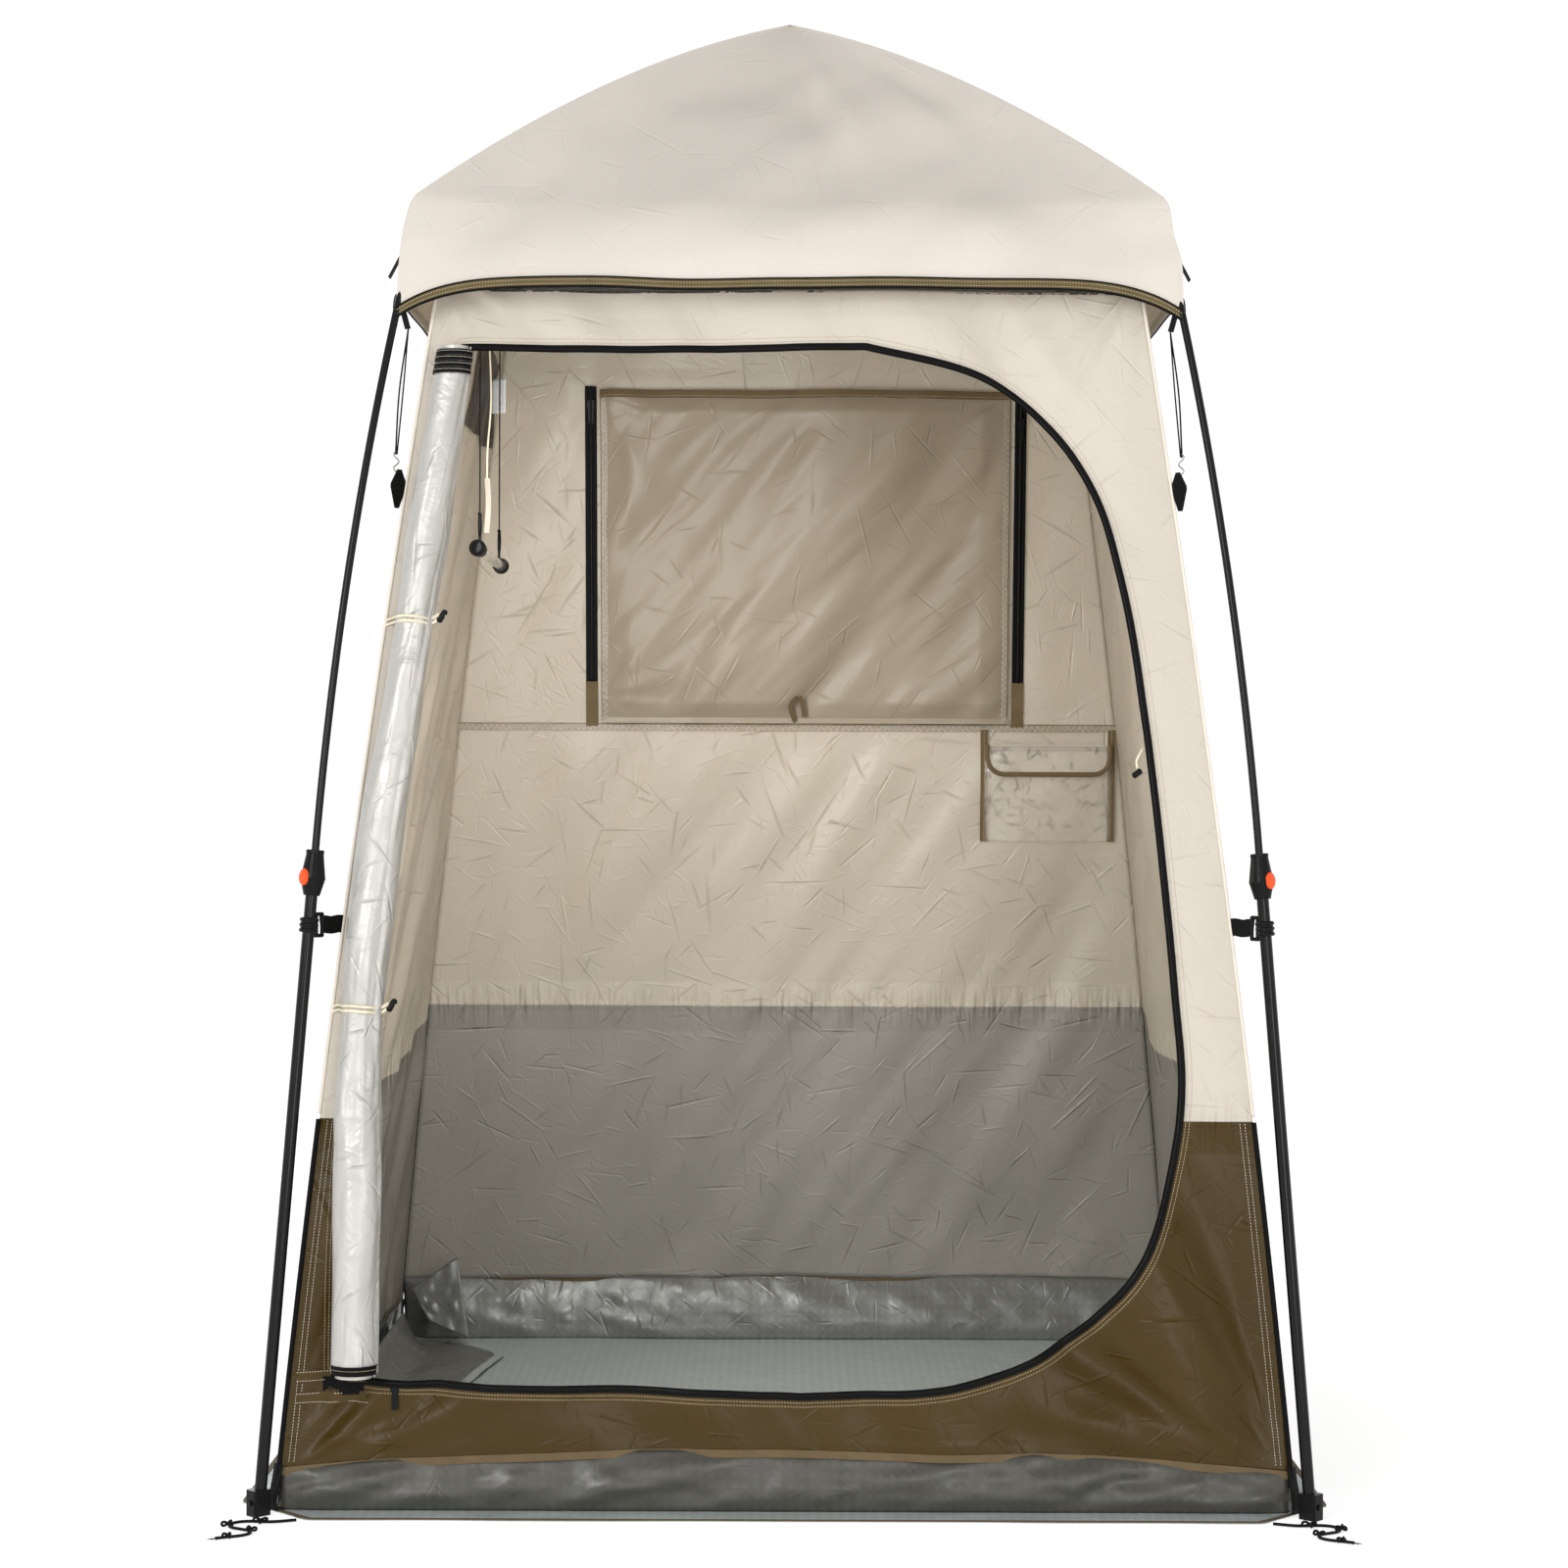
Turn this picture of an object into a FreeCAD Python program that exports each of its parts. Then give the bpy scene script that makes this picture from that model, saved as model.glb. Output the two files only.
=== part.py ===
import FreeCAD, Part
import math
import os
from FreeCAD import Placement, Rotation, Vector

# Privacy shower tent: a four-legged folding frame of arched roof ribs and bowed telescoping legs,
# with a roof fly, a tapered cabin hung inside the legs, and a separate ground sheet.
# Millimetres, +Z up, origin on the ground at the centre, the door faces -Y.

DIMENSIONS = {
    # frame: radii are measured from the centre along the diagonals
    "FootRadius": 1032.4,
    "LegLean": 5.75,
    "RodTopRadius": 762,
    "RodTopHeight": 1830,
    "RodDiameter": 11,
    "TubeDiameter": 17,
    "TubeInnerDiameter": 14.6,
    "TubeTop": 870,
    "TubeBottom": 6,
    "RodInsideTube": 110,
    "ConnectorBottom": 862,
    "ConnectorTop": 926,
    "ConnectorWidest": 886,
    "ConnectorRadius": 17.5,
    "ConnectorEndRadius": 11.5,
    "CollarHeight": 5,
    "CollarRadius": 12.8,
    "RodBoreRadius": 5.8,
    "ButtonHeight": 887,
    "ButtonHalfWidth": 8.7,
    "ButtonHalfHeight": 11.7,
    "ButtonInner": 10.2,
    "ButtonOuter": 20,
    "ButtonDomeRadius": 24,
    "ButtonGap": 0.3,
    "ButtonPocketFloor": 7,
    "ButtonPocketEnd": 30,
    "HubPivotRadius": 50,
    "HubHeight": 2200,
    "HubDiscRadius": 38,
    "HubDiscHeight": 16,
    "RibRise": 50,
    "PinRadius": 3,
    "PinPlay": 0.05,
    "PinHeadRadius": 4.6,
    "PinHeadHeight": 1.5,
    "EyeRadius": 7,
    "EyeHalfWidth": 5.5,
    "EarInner": 6,
    "EarOuter": 11,
    "EarReach": 10,
    "EarStart": 30,
    "SocketRadius": 8,
    "SocketStart": 18,
    "SocketEnd": 60,
    "SocketFloor": 26,
    "RodEndGap": 2,
    "SocketPlay": 0.1,
    "KnuckleOffset": 20,
    "KnuckleRise": 12,
    "KnuckleSocketRadius": 9,
    "KnuckleSocketLength": 50,
    "KnuckleSocketFloor": 8,
    "KnuckleSocketCap": 6,
    "KnuckleWebInset": 5,
    "FootLength": 28,
    "FootWidth": 22,
    "FootHeight": 36,
    "FootFillet": 3,
    "FootScrewRadius": 4,
    "FootScrewLength": 3.5,
    # corner ties
    "ClipHeight": 816,
    "ClipBand": 20,
    "ClipInnerRadius": 8.9,
    "ClipOuterRadius": 12.2,
    "SlotBarWidth": 11,
    "SlotBarHeight": 34,
    "SlotBarThickness": 6,
    "SlotBarOverlap": 3,
    "WebbingWidth": 25,
    "WebbingThickness": 1.6,
    "CornerStrapWidth": 18,
    "CornerStrapTop": 58,
    "CornerStrapFoot": 3.5,
    "CornerSeam": 3,
    "ElasticDiameter": 3.5,
    "ElasticTop": 1700,
    "ElasticBottom": 1480,
    "ElasticSpacing": 6,
    "ElasticTopOut": 14,
    "TabHeight": 62,
    "TabWidth": 22,
    # cabin
    "CabinBottomHalf": 709.5,
    "CabinMiddleHalf": 620,
    "CabinTopHalf": 503,
    "CabinBottom": 8,
    "CabinMiddle": 890,
    "CabinTop": 1795,
    "FabricThickness": 1,
    "CornerGap": 1.2,
    "WindowWidth": 729,
    "WindowCentre": 31,
    "WindowFlapBottom": 1126,
    "WindowFlapTop": 1700,
    "FlapOffset": 3.5,
    # roof fly
    "PeakHeight": 2245,
    "RidgeStart": 3,
    "RidgeEnd": 540,
    "HemCornerHalf": 577,
    "HemCornerHeight": 1685,
    "HemMiddleHalf": 578,
    "HemMiddleHeight": 1742,
    "PanelGap": 1.2,
    # door, pocket and rail
    "SliderWidth": 12,
    "SliderDepth": 4.5,
    "SliderHeight": 16,
    "PullWidth": 9,
    "PullThickness": 1.5,
    "PullReach": 33,
    "PullLength": 26,
    "SliderOutside": 7,
    "SliderInside": 9,
    "RollRadius": 27,
    "RollGap": 2.5,
    "RollBendSpan": 150,
    "PocketWidth": 240,
    "PocketHeight": 180,
    "PocketDepth": 16,
    "PocketWall": 1.2,
    "PocketCentre": 470,
    "PocketBottom": 912,
    "PocketStand": 4.5,
    "PocketFlapInset": 3,
    "PocketFlapHeight": 62,
    "PocketFlapOverlap": 56,
    "PocketFlapThickness": 1.5,
    "RailLength": 400,
    "RailRadius": 8.5,
    "RailSide": 487,
    "RailFront": 150,
    "RailHeight": 1385,
    "RailStrapTop": 1745,
    "RailStrapWidth": 20,
    "RailBallRadius": 13.5,
    "RailBallOut": 8,
    "RailBallBore": 20,
    "RailCollarIn": 30,
    "RailCollarWidth": 10,
    "RailCollarWall": 3,
    "RailHookWidth": 4,
    "RailHookDepth": 8,
    "RailHookStart": 7,
    "RailHookHeight": 34,
    # ground sheet and stake cords
    "SheetHalf": 765,
    "SheetChamfer": 105,
    "SheetThickness": 1.5,
    "StakeCordDiameter": 4.4,
}

CORNERS = {"fl": 225, "fr": 315, "rr": 45, "rl": 135}
SIDES = {"front": 0, "right": 90, "rear": 180, "left": 270}
UP = Vector(0, 0, 1)
ACROSS = Vector(0, 1, 0)

doc = FreeCAD.newDocument("ShowerTent")
sheet = doc.addObject("Spreadsheet::Sheet", "Dimensions")
for row, (alias, number) in enumerate(DIMENSIONS.items(), start=1):
    sheet.set(f"A{row}", alias)
    sheet.set(f"B{row}", str(number))
    sheet.setAlias(f"B{row}", alias)
doc.recompute()

nodes = []


def size(alias):
    return float(sheet.get(alias))


def bind(feature, **expressions):
    """Binds sizes of a feature to cells of the sheet; @ stands for the sheet's name."""
    for name, expression in expressions.items():
        feature.setExpression(name, expression.replace("@", "Dimensions."))
    return feature


def keep(feature, label):
    feature.Label = label
    nodes.append(feature)
    return feature


def add(kind, name, base=None, rotation=None, **expressions):
    feature = doc.addObject(kind, name)
    feature.Placement = Placement(base or Vector(), rotation or Rotation())
    return bind(feature, **expressions)


def joined(name, parts):
    feature = doc.addObject("Part::MultiFuse", name)
    feature.Shapes = parts
    return feature


def cut(name, base, tool):
    feature = doc.addObject("Part::Cut", name)
    feature.Base = base
    feature.Tool = tool
    return feature


def shaped(name, shape):
    """A feature for swept rods and fabric, whose shape is worked out from the sheet."""
    feature = doc.addObject("Part::Feature", name)
    feature.Shape = shape
    return feature


def turned(angle):
    return Placement(Vector(), Rotation(UP, angle))


def at(radius, height, across=0.0):
    """A point of a corner's own frame: outward radius, across the diagonal, height."""
    return Vector(radius, across, height)


def bored(shape, point, direction, radius, length):
    """Cuts a bore that starts at a point and runs along a direction."""
    return shape.cut(Part.makeCylinder(radius, length, point, direction))


# ---------------------------------------------------------------- lines of the frame
lean = math.radians(size("LegLean"))
tube_way = Vector(-math.sin(lean), 0, math.cos(lean))
tube_out = Vector(math.cos(lean), 0, math.sin(lean))
foot_point = at(size("FootRadius"), 0)
rod_start = foot_point + tube_way * size("ConnectorTop")
rod_end = at(size("RodTopRadius"), size("RodTopHeight"))
chord = rod_end - rod_start
bow = -chord.dot(tube_out)
bow_turn = 2 * math.atan2(bow, chord.dot(tube_way))
rod_top_way = Vector(-math.sin(lean + bow_turn), 0, math.cos(lean + bow_turn))
rod_top_out = Vector(rod_top_way.z, 0, -rod_top_way.x)
knuckle = rod_end + rod_top_way * size("KnuckleRise") - rod_top_out * size("KnuckleOffset")
hub_pivot = at(size("HubPivotRadius"), size("HubHeight"))

rib_chord = knuckle - hub_pivot
rib_way = Vector(rib_chord).normalize()
rib_over = Vector(-rib_way.z, 0, rib_way.x)
rib_turn = 2 * math.atan2(2 * size("RibRise"), rib_chord.Length)
hub_end_way = rib_way * math.cos(rib_turn) + rib_over * math.sin(rib_turn)
knuckle_end_way = rib_over * math.sin(rib_turn) - rib_way * math.cos(rib_turn)


def swept(edges, radius):
    """A round rod along joined edges."""
    path = Part.Wire(edges)
    start = edges[0].valueAt(edges[0].FirstParameter)
    way = edges[0].tangentAt(edges[0].FirstParameter)
    ring = Part.Wire([Part.makeCircle(radius, start, way)])
    return path.makePipeShell([ring], True, False)


# ---------------------------------------------------------------- hub
def make_hub():
    half_height = size("HubDiscHeight") / 2
    block = [
        add(
            "Part::Cylinder",
            "HubDisc",
            Vector(0, 0, size("HubHeight") - half_height),
            Radius="@HubDiscRadius",
            Height="@HubDiscHeight",
        )
    ]
    pins = []
    for corner, angle in CORNERS.items():
        for side in (-1, 1):
            ear = add(
                "Part::Box",
                f"HubEar_{corner}_{side + 1}",
                Length="@HubPivotRadius + @EarReach - @EarStart",
                Width="@EarOuter - @EarInner",
                Height="2 * @EarReach",
            )
            low = size("EarInner") if side > 0 else -size("EarOuter")
            corner_point = Vector(size("EarStart"), low, size("HubHeight") - size("EarReach"))
            ear.Placement = turned(angle).multiply(Placement(corner_point, Rotation()))
            block.append(ear)
        pins.append(pin_shape(hub_pivot).transformed(turned(angle).toMatrix()))
    holes = []
    for corner, angle in CORNERS.items():
        hole = add("Part::Cylinder", f"HubHole_{corner}", Radius="@PinRadius", Height="2 * @EarOuter")
        base = Placement(hub_pivot - ACROSS * size("EarOuter"), Rotation(Vector(1, 0, 0), -90))
        hole.Placement = turned(angle).multiply(base)
        holes.append(hole)
    solid = cut("HubBlock", joined("HubBlanks", block), joined("HubHoles", holes))
    keep(solid, "hub_block")
    keep(shaped("HubPins", Part.makeCompound(pins)), "hub_pins")


def pin_shape(point):
    """A pin across a clevis with a head at each end."""
    half = size("EarOuter")
    head = size("PinHeadHeight")
    pin = Part.makeCylinder(size("PinRadius"), 2 * half, point - ACROSS * half, ACROSS)
    for start in (-half - head, half):
        pin = pin.fuse(
            Part.makeCylinder(size("PinHeadRadius"), head, point + ACROSS * start, ACROSS)
        )
    return pin.removeSplitter()


# ---------------------------------------------------------------- ribs
def eye_fitting(pivot, way):
    """An eye with a tongue and a socket that takes the end of a rod."""
    half_width = size("EyeHalfWidth")
    radius = size("EyeRadius")
    over = Vector(-way.z, 0, way.x)
    eye = Part.makeCylinder(radius, 2 * half_width, pivot - ACROSS * half_width, ACROSS)
    tongue = Part.makeBox(size("SocketStart") + 2, 2 * half_width, 2 * radius)
    tilt = -math.degrees(math.atan2(way.z, way.x))
    tongue.Placement = Placement(
        pivot - over * radius - ACROSS * half_width, Rotation(ACROSS, tilt)
    )
    length = size("SocketEnd") - size("SocketStart")
    socket = Part.makeCylinder(
        size("SocketRadius"), length, pivot + way * size("SocketStart"), way
    )
    body = eye.fuse([tongue, socket])
    bore = size("PinRadius") + size("PinPlay")
    body = bored(body, pivot - ACROSS * half_width, ACROSS, bore, 2 * half_width)
    rod_bore = size("RodDiameter") / 2 + size("SocketPlay")
    floor = pivot + way * size("SocketFloor")
    return bored(body, floor, way, rod_bore, size("SocketEnd")).removeSplitter()


def rib_rod():
    """The arched rod between the two sockets."""
    top = (hub_pivot + knuckle) * 0.5 + rib_over * size("RibRise")
    whole = Part.Arc(hub_pivot, top, knuckle).toShape()
    inset = size("SocketFloor") + size("RodEndGap")
    first = whole.getParameterByLength(inset)
    last = whole.getParameterByLength(whole.Length - inset)
    return swept([Part.Edge(whole.Curve, first, last)], size("RodDiameter") / 2)


def make_ribs():
    fittings = Part.makeCompound(
        [eye_fitting(hub_pivot, hub_end_way), eye_fitting(knuckle, knuckle_end_way)]
    )
    rod = rib_rod()
    for corner, angle in CORNERS.items():
        for name, shape in (("rib_rod", rod), ("rib_fittings", fittings)):
            piece = keep(shaped(f"{name}_{corner}", shape), f"{name}_{corner}")
            piece.Placement = turned(angle)


# ---------------------------------------------------------------- legs
def upper_rod():
    """The bowed rod: straight inside the tube, then one arc up to the knuckle."""
    low = rod_start - tube_way * size("RodInsideTube")
    straight = Part.makeLine(low, rod_start)
    half_turn = bow_turn / 2
    radius = chord.Length / (2 * math.sin(half_turn))
    centre = rod_start - tube_out * radius
    middle_way = tube_out * math.cos(half_turn) + tube_way * math.sin(half_turn)
    arc = Part.Arc(rod_start, centre + middle_way * radius, rod_end).toShape()
    return swept([straight, arc], size("RodDiameter") / 2)


def knuckle_shape():
    """A clevis round the pivot, a web and a socket for the rod, and the pivot's own pin."""
    reach = size("EarReach")
    inner = size("EarInner")
    outer = size("EarOuter")
    offset = size("KnuckleOffset")
    tilt = -math.degrees(math.atan2(rod_top_out.z, rod_top_out.x))

    def block(out_low, out_high, across_low, across_high, up_low, up_high):
        box = Part.makeBox(out_high - out_low, across_high - across_low, up_high - up_low)
        corner = rod_top_out * out_low + ACROSS * across_low + rod_top_way * up_low
        box.Placement = Placement(knuckle + corner, Rotation(ACROSS, tilt))
        return box

    rise = size("KnuckleRise")
    depth = size("KnuckleSocketLength") - size("KnuckleSocketFloor")
    foot = knuckle + rod_top_out * offset - rod_top_way * (rise + depth)
    length = size("KnuckleSocketLength") + size("KnuckleSocketCap")
    socket = Part.makeCylinder(size("KnuckleSocketRadius"), length, foot, rod_top_way)
    web = offset - size("KnuckleWebInset")
    body = socket.fuse(
        [
            block(-reach, web, inner, outer, -reach, reach),
            block(-reach, web, -outer, -inner, -reach, reach),
            block(reach, web, -outer, outer, -reach, reach),
        ]
    )
    rod_bore = size("RodDiameter") / 2 + size("SocketPlay")
    body = bored(body, foot, rod_top_way, rod_bore, depth)
    body = bored(body, knuckle - ACROSS * outer, ACROSS, size("PinRadius"), 2 * outer)
    return Part.makeCompound([body.removeSplitter(), pin_shape(knuckle)])


def tube_place(distance):
    """A placement on the leg tube's axis, with the axis as its own +Z."""
    return Placement(foot_point + tube_way * distance, Rotation(ACROSS, -size("LegLean")))


def make_tube(corner):
    outer = add(
        "Part::Cylinder",
        f"TubeOuter_{corner}",
        Radius="@TubeDiameter / 2",
        Height="@TubeTop - @TubeBottom",
    )
    inner = add(
        "Part::Cylinder",
        f"TubeInner_{corner}",
        Radius="@TubeInnerDiameter / 2",
        Height="@TubeTop - @TubeBottom",
    )
    return cut(f"LowerTube_{corner}", outer, inner)


def make_connector(corner):
    """Two cones meeting at the widest ring, a collar, a bore in two steps and the button's pocket."""
    lower = add(
        "Part::Cone",
        f"ConnectorLower_{corner}",
        Radius1="@ConnectorEndRadius",
        Radius2="@ConnectorRadius",
        Height="@ConnectorWidest - @ConnectorBottom",
    )
    upper = add(
        "Part::Cone",
        f"ConnectorUpper_{corner}",
        Vector(0, 0, size("ConnectorWidest") - size("ConnectorBottom")),
        Radius1="@ConnectorRadius",
        Radius2="@ConnectorEndRadius",
        Height="@ConnectorTop - @ConnectorWidest",
    )
    collar = add(
        "Part::Cylinder",
        f"ConnectorCollar_{corner}",
        Vector(0, 0, size("ConnectorTop") - size("CollarHeight") - size("ConnectorBottom")),
        Radius="@CollarRadius",
        Height="@CollarHeight",
    )
    tube_bore = add(
        "Part::Cylinder",
        f"ConnectorTubeBore_{corner}",
        Radius="@TubeDiameter / 2",
        Height="@TubeTop - @ConnectorBottom",
    )
    rod_bore = add(
        "Part::Cylinder",
        f"ConnectorRodBore_{corner}",
        Radius="@RodBoreRadius",
        Height="@ConnectorTop - @ConnectorBottom",
    )
    pocket = button_prism(f"ButtonPocket_{corner}", "@ButtonGap", "@ButtonPocketFloor", "@ButtonPocketEnd")
    body = joined(f"ConnectorBody_{corner}", [lower, upper, collar])
    holes = joined(f"ConnectorHoles_{corner}", [tube_bore, rod_bore, pocket])
    return cut(f"Connector_{corner}", body, holes)


def button_prism(name, play, start, end):
    """An oval prism that points outward from the tube's axis at the button's height."""
    oval = doc.addObject("Part::Ellipse", f"{name}_Oval")
    bind(
        oval,
        MajorRadius=f"@ButtonHalfHeight + {play}",
        MinorRadius=f"@ButtonHalfWidth + {play}",
    )
    height = size("ButtonHeight") - size("ConnectorBottom")
    oval.Placement = Placement(Vector(0, 0, height), Rotation(Vector(0, 1, 0), -90))
    bind(oval, **{".Placement.Base.x": start})
    prism = doc.addObject("Part::Extrusion", name)
    prism.Base = oval
    prism.DirMode = "Custom"
    prism.Dir = Vector(1, 0, 0)
    prism.Solid = True
    bind(prism, LengthFwd=f"{end} - {start}")
    return prism


def make_button(corner):
    prism = button_prism(f"ButtonPrism_{corner}", "0", "@ButtonInner", "@ButtonOuter + 2")
    dome = add(
        "Part::Sphere",
        f"ButtonDome_{corner}",
        Vector(
            size("ButtonOuter") - size("ButtonDomeRadius"),
            0,
            size("ButtonHeight") - size("ConnectorBottom"),
        ),
        Radius="@ButtonDomeRadius",
    )
    button = doc.addObject("Part::MultiCommon", f"Button_{corner}")
    button.Shapes = [prism, dome]
    return button


def make_foot(corner):
    """A filleted cap with a bore for the tube and the head of its screw on the outer side."""
    cap = add(
        "Part::Box",
        f"FootBlank_{corner}",
        Length="@FootLength",
        Width="@FootWidth",
        Height="@FootHeight",
    )
    half_length = size("FootLength") / 2
    cap.Placement = Placement(
        foot_point + Vector(-half_length, -size("FootWidth") / 2, 0), Rotation()
    )
    doc.recompute()
    rounded = doc.addObject("Part::Fillet", f"FootRounded_{corner}")
    rounded.Base = cap
    upright = [
        (number, size("FootFillet"), size("FootFillet"))
        for number, edge in enumerate(cap.Shape.Edges, start=1)
        if abs(edge.Vertexes[0].Z - edge.Vertexes[-1].Z) > 1
    ]
    rounded.Edges = upright
    bore = add(
        "Part::Cylinder",
        f"FootBore_{corner}",
        Radius="@TubeDiameter / 2",
        Height="@FootHeight + 10",
    )
    bore.Placement = tube_place(size("TubeBottom"))
    screw = add(
        "Part::Cylinder",
        f"FootScrew_{corner}",
        foot_point + Vector(half_length - 1, 0, size("FootHeight") / 2),
        Rotation(ACROSS, 90),
        Radius="@FootScrewRadius",
        Height="@FootScrewLength",
    )
    return cut(f"Foot_{corner}", joined(f"FootBody_{corner}", [rounded, screw]), bore)


def make_legs():
    rod = upper_rod()
    clevis = knuckle_shape()
    for corner, angle in CORNERS.items():
        turn = turned(angle)
        for name, shape in (("upper_rod", rod), ("knuckle", clevis)):
            piece = keep(shaped(f"{name}_{corner}", shape), f"{name}_{corner}")
            piece.Placement = turn
        tube = keep(make_tube(corner), f"lower_tube_{corner}")
        tube.Placement = turn.multiply(tube_place(size("TubeBottom")))
        connector = keep(make_connector(corner), f"connector_{corner}")
        connector.Placement = turn.multiply(tube_place(size("ConnectorBottom")))
        button = keep(make_button(corner), f"button_{corner}")
        button.Placement = turn.multiply(tube_place(size("ConnectorBottom")))
        foot = keep(make_foot(corner), f"foot_{corner}")
        foot.Placement = turn


# ---------------------------------------------------------------- cabin
def cabin_arc():
    """The cabin's upright profile: half width against height, one shallow arc."""
    return Part.Arc(
        Vector(size("CabinBottomHalf"), 0, size("CabinBottom")),
        Vector(size("CabinMiddleHalf"), 0, size("CabinMiddle")),
        Vector(size("CabinTopHalf"), 0, size("CabinTop")),
    )


cabin_radius = cabin_arc().toShape().Curve.Radius
cabin_axis = cabin_arc().toShape().Curve.Center


def cabin_half(height):
    """Half width of the cabin at a height."""
    return cabin_axis.x + math.sqrt(cabin_radius**2 - (height - cabin_axis.z) ** 2)


def slab(low, high, left, right, outer_offset, thickness):
    """A piece of fabric that follows the front wall's profile, from left to right."""
    middle = (low + high) / 2

    def profile_arc(offset):
        return Part.Arc(
            Vector(left, -cabin_half(low) - offset, low),
            Vector(left, -cabin_half(middle) - offset, middle),
            Vector(left, -cabin_half(high) - offset, high),
        ).toShape()

    outer = profile_arc(outer_offset)
    inner = profile_arc(outer_offset - thickness)
    ends = [outer.valueAt(outer.FirstParameter), outer.valueAt(outer.LastParameter)]
    backs = [inner.valueAt(inner.FirstParameter), inner.valueAt(inner.LastParameter)]
    outline = Part.Wire(
        [outer, Part.makeLine(ends[1], backs[1]), inner, Part.makeLine(backs[0], ends[0])]
    )
    return Part.Face(outline).extrude(Vector(right - left, 0, 0))


def elevation(low, high):
    """The front wall's outline seen from the front, as a deep prism."""
    gap = size("CornerGap")
    middle = (low + high) / 2
    front = -1000

    def edge(side):
        return Part.Arc(
            Vector(side * (cabin_half(low) - gap), front, low),
            Vector(side * (cabin_half(middle) - gap), front, middle),
            Vector(side * (cabin_half(high) - gap), front, high),
        ).toShape()

    left = edge(-1)
    right = edge(1)
    bottom = Part.makeLine(
        left.valueAt(left.FirstParameter), right.valueAt(right.FirstParameter)
    )
    top = Part.makeLine(left.valueAt(left.LastParameter), right.valueAt(right.LastParameter))
    return Part.Face(Part.Wire([left, top, right, bottom])).extrude(Vector(0, 1000, 0))


# The door's outline seen from the front, as pairs of across and height.
DOOR_SWEEP = [
    (110, 1649),
    (280, 1605),
    (366, 1542),
    (437, 1442),
    (476, 1312),
    (503, 1156),
    (546, 737),
    (554, 558),
    (506, 367),
    (435, 274),
    (352, 214),
    (242, 178),
    (23, 164),
]
DOOR_SIDE = [(-630, 182), (-597, 850), (-474, 1645)]
# The rolled door's axis: its top, its bend and its foot.
ROLL_LINE = [(-482, 1640), (-597, 690), (-599, 196)]


def door_prism():
    """The door's outline: straight left side and bottom, one long sweep round the right."""
    front = -1000
    sweep = [Vector(across, front, height) for across, height in DOOR_SWEEP]
    side = [Vector(across, front, height) for across, height in DOOR_SIDE]
    curve = Part.BSplineCurve()
    curve.interpolate(sweep)
    outline = Part.Wire(
        [
            Part.Arc(*side).toShape(),
            Part.makeLine(side[-1], sweep[0]),
            curve.toShape(),
            Part.makeLine(sweep[-1], side[0]),
        ]
    )
    return Part.Face(outline).extrude(Vector(0, 1000, 0))


def make_walls():
    low = size("CabinBottom")
    high = size("CabinTop")
    half = size("CabinBottomHalf") + 5
    panel = slab(low, high, -half, half, 0, size("FabricThickness"))
    panel = panel.common(elevation(low, high))
    for side, angle in SIDES.items():
        shape = panel.cut(door_prism()) if side == "front" else panel
        wall = keep(shaped(f"wall_{side}", shape), f"wall_{side}")
        wall.Placement = turned(angle)


def make_window_flap():
    left = -size("WindowCentre") - size("WindowWidth") / 2
    shape = slab(
        size("WindowFlapBottom"),
        size("WindowFlapTop"),
        left,
        left + size("WindowWidth"),
        -size("FabricThickness") - size("FlapOffset"),
        size("FabricThickness"),
    )
    flap = keep(shaped("WindowFlap", shape), "window_flap")
    flap.Placement = turned(SIDES["rear"])


def make_door_roll():
    """The rolled door: down along the slanted side, then upright to the sill."""
    radius = size("RollRadius")
    stand_off = radius + size("RollGap")
    top, bend, foot = [
        Vector(across, -cabin_half(height) - stand_off, height) for across, height in ROLL_LINE
    ]
    first = (top - bend).normalize()
    last = (foot - bend).normalize()
    span = size("RollBendSpan")
    start = bend + first * span
    finish = bend + last * span
    half_angle = first.getAngle(last) / 2
    inward = (first + last).normalize()
    centre = bend + inward * (span / math.cos(half_angle))
    arc_radius = span * math.tan(half_angle)
    middle = centre - inward * arc_radius
    path = [
        Part.makeLine(top, start),
        Part.Arc(start, middle, finish).toShape(),
        Part.makeLine(finish, foot),
    ]
    keep(shaped("DoorRoll", swept(path, radius)), "door_roll")


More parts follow.
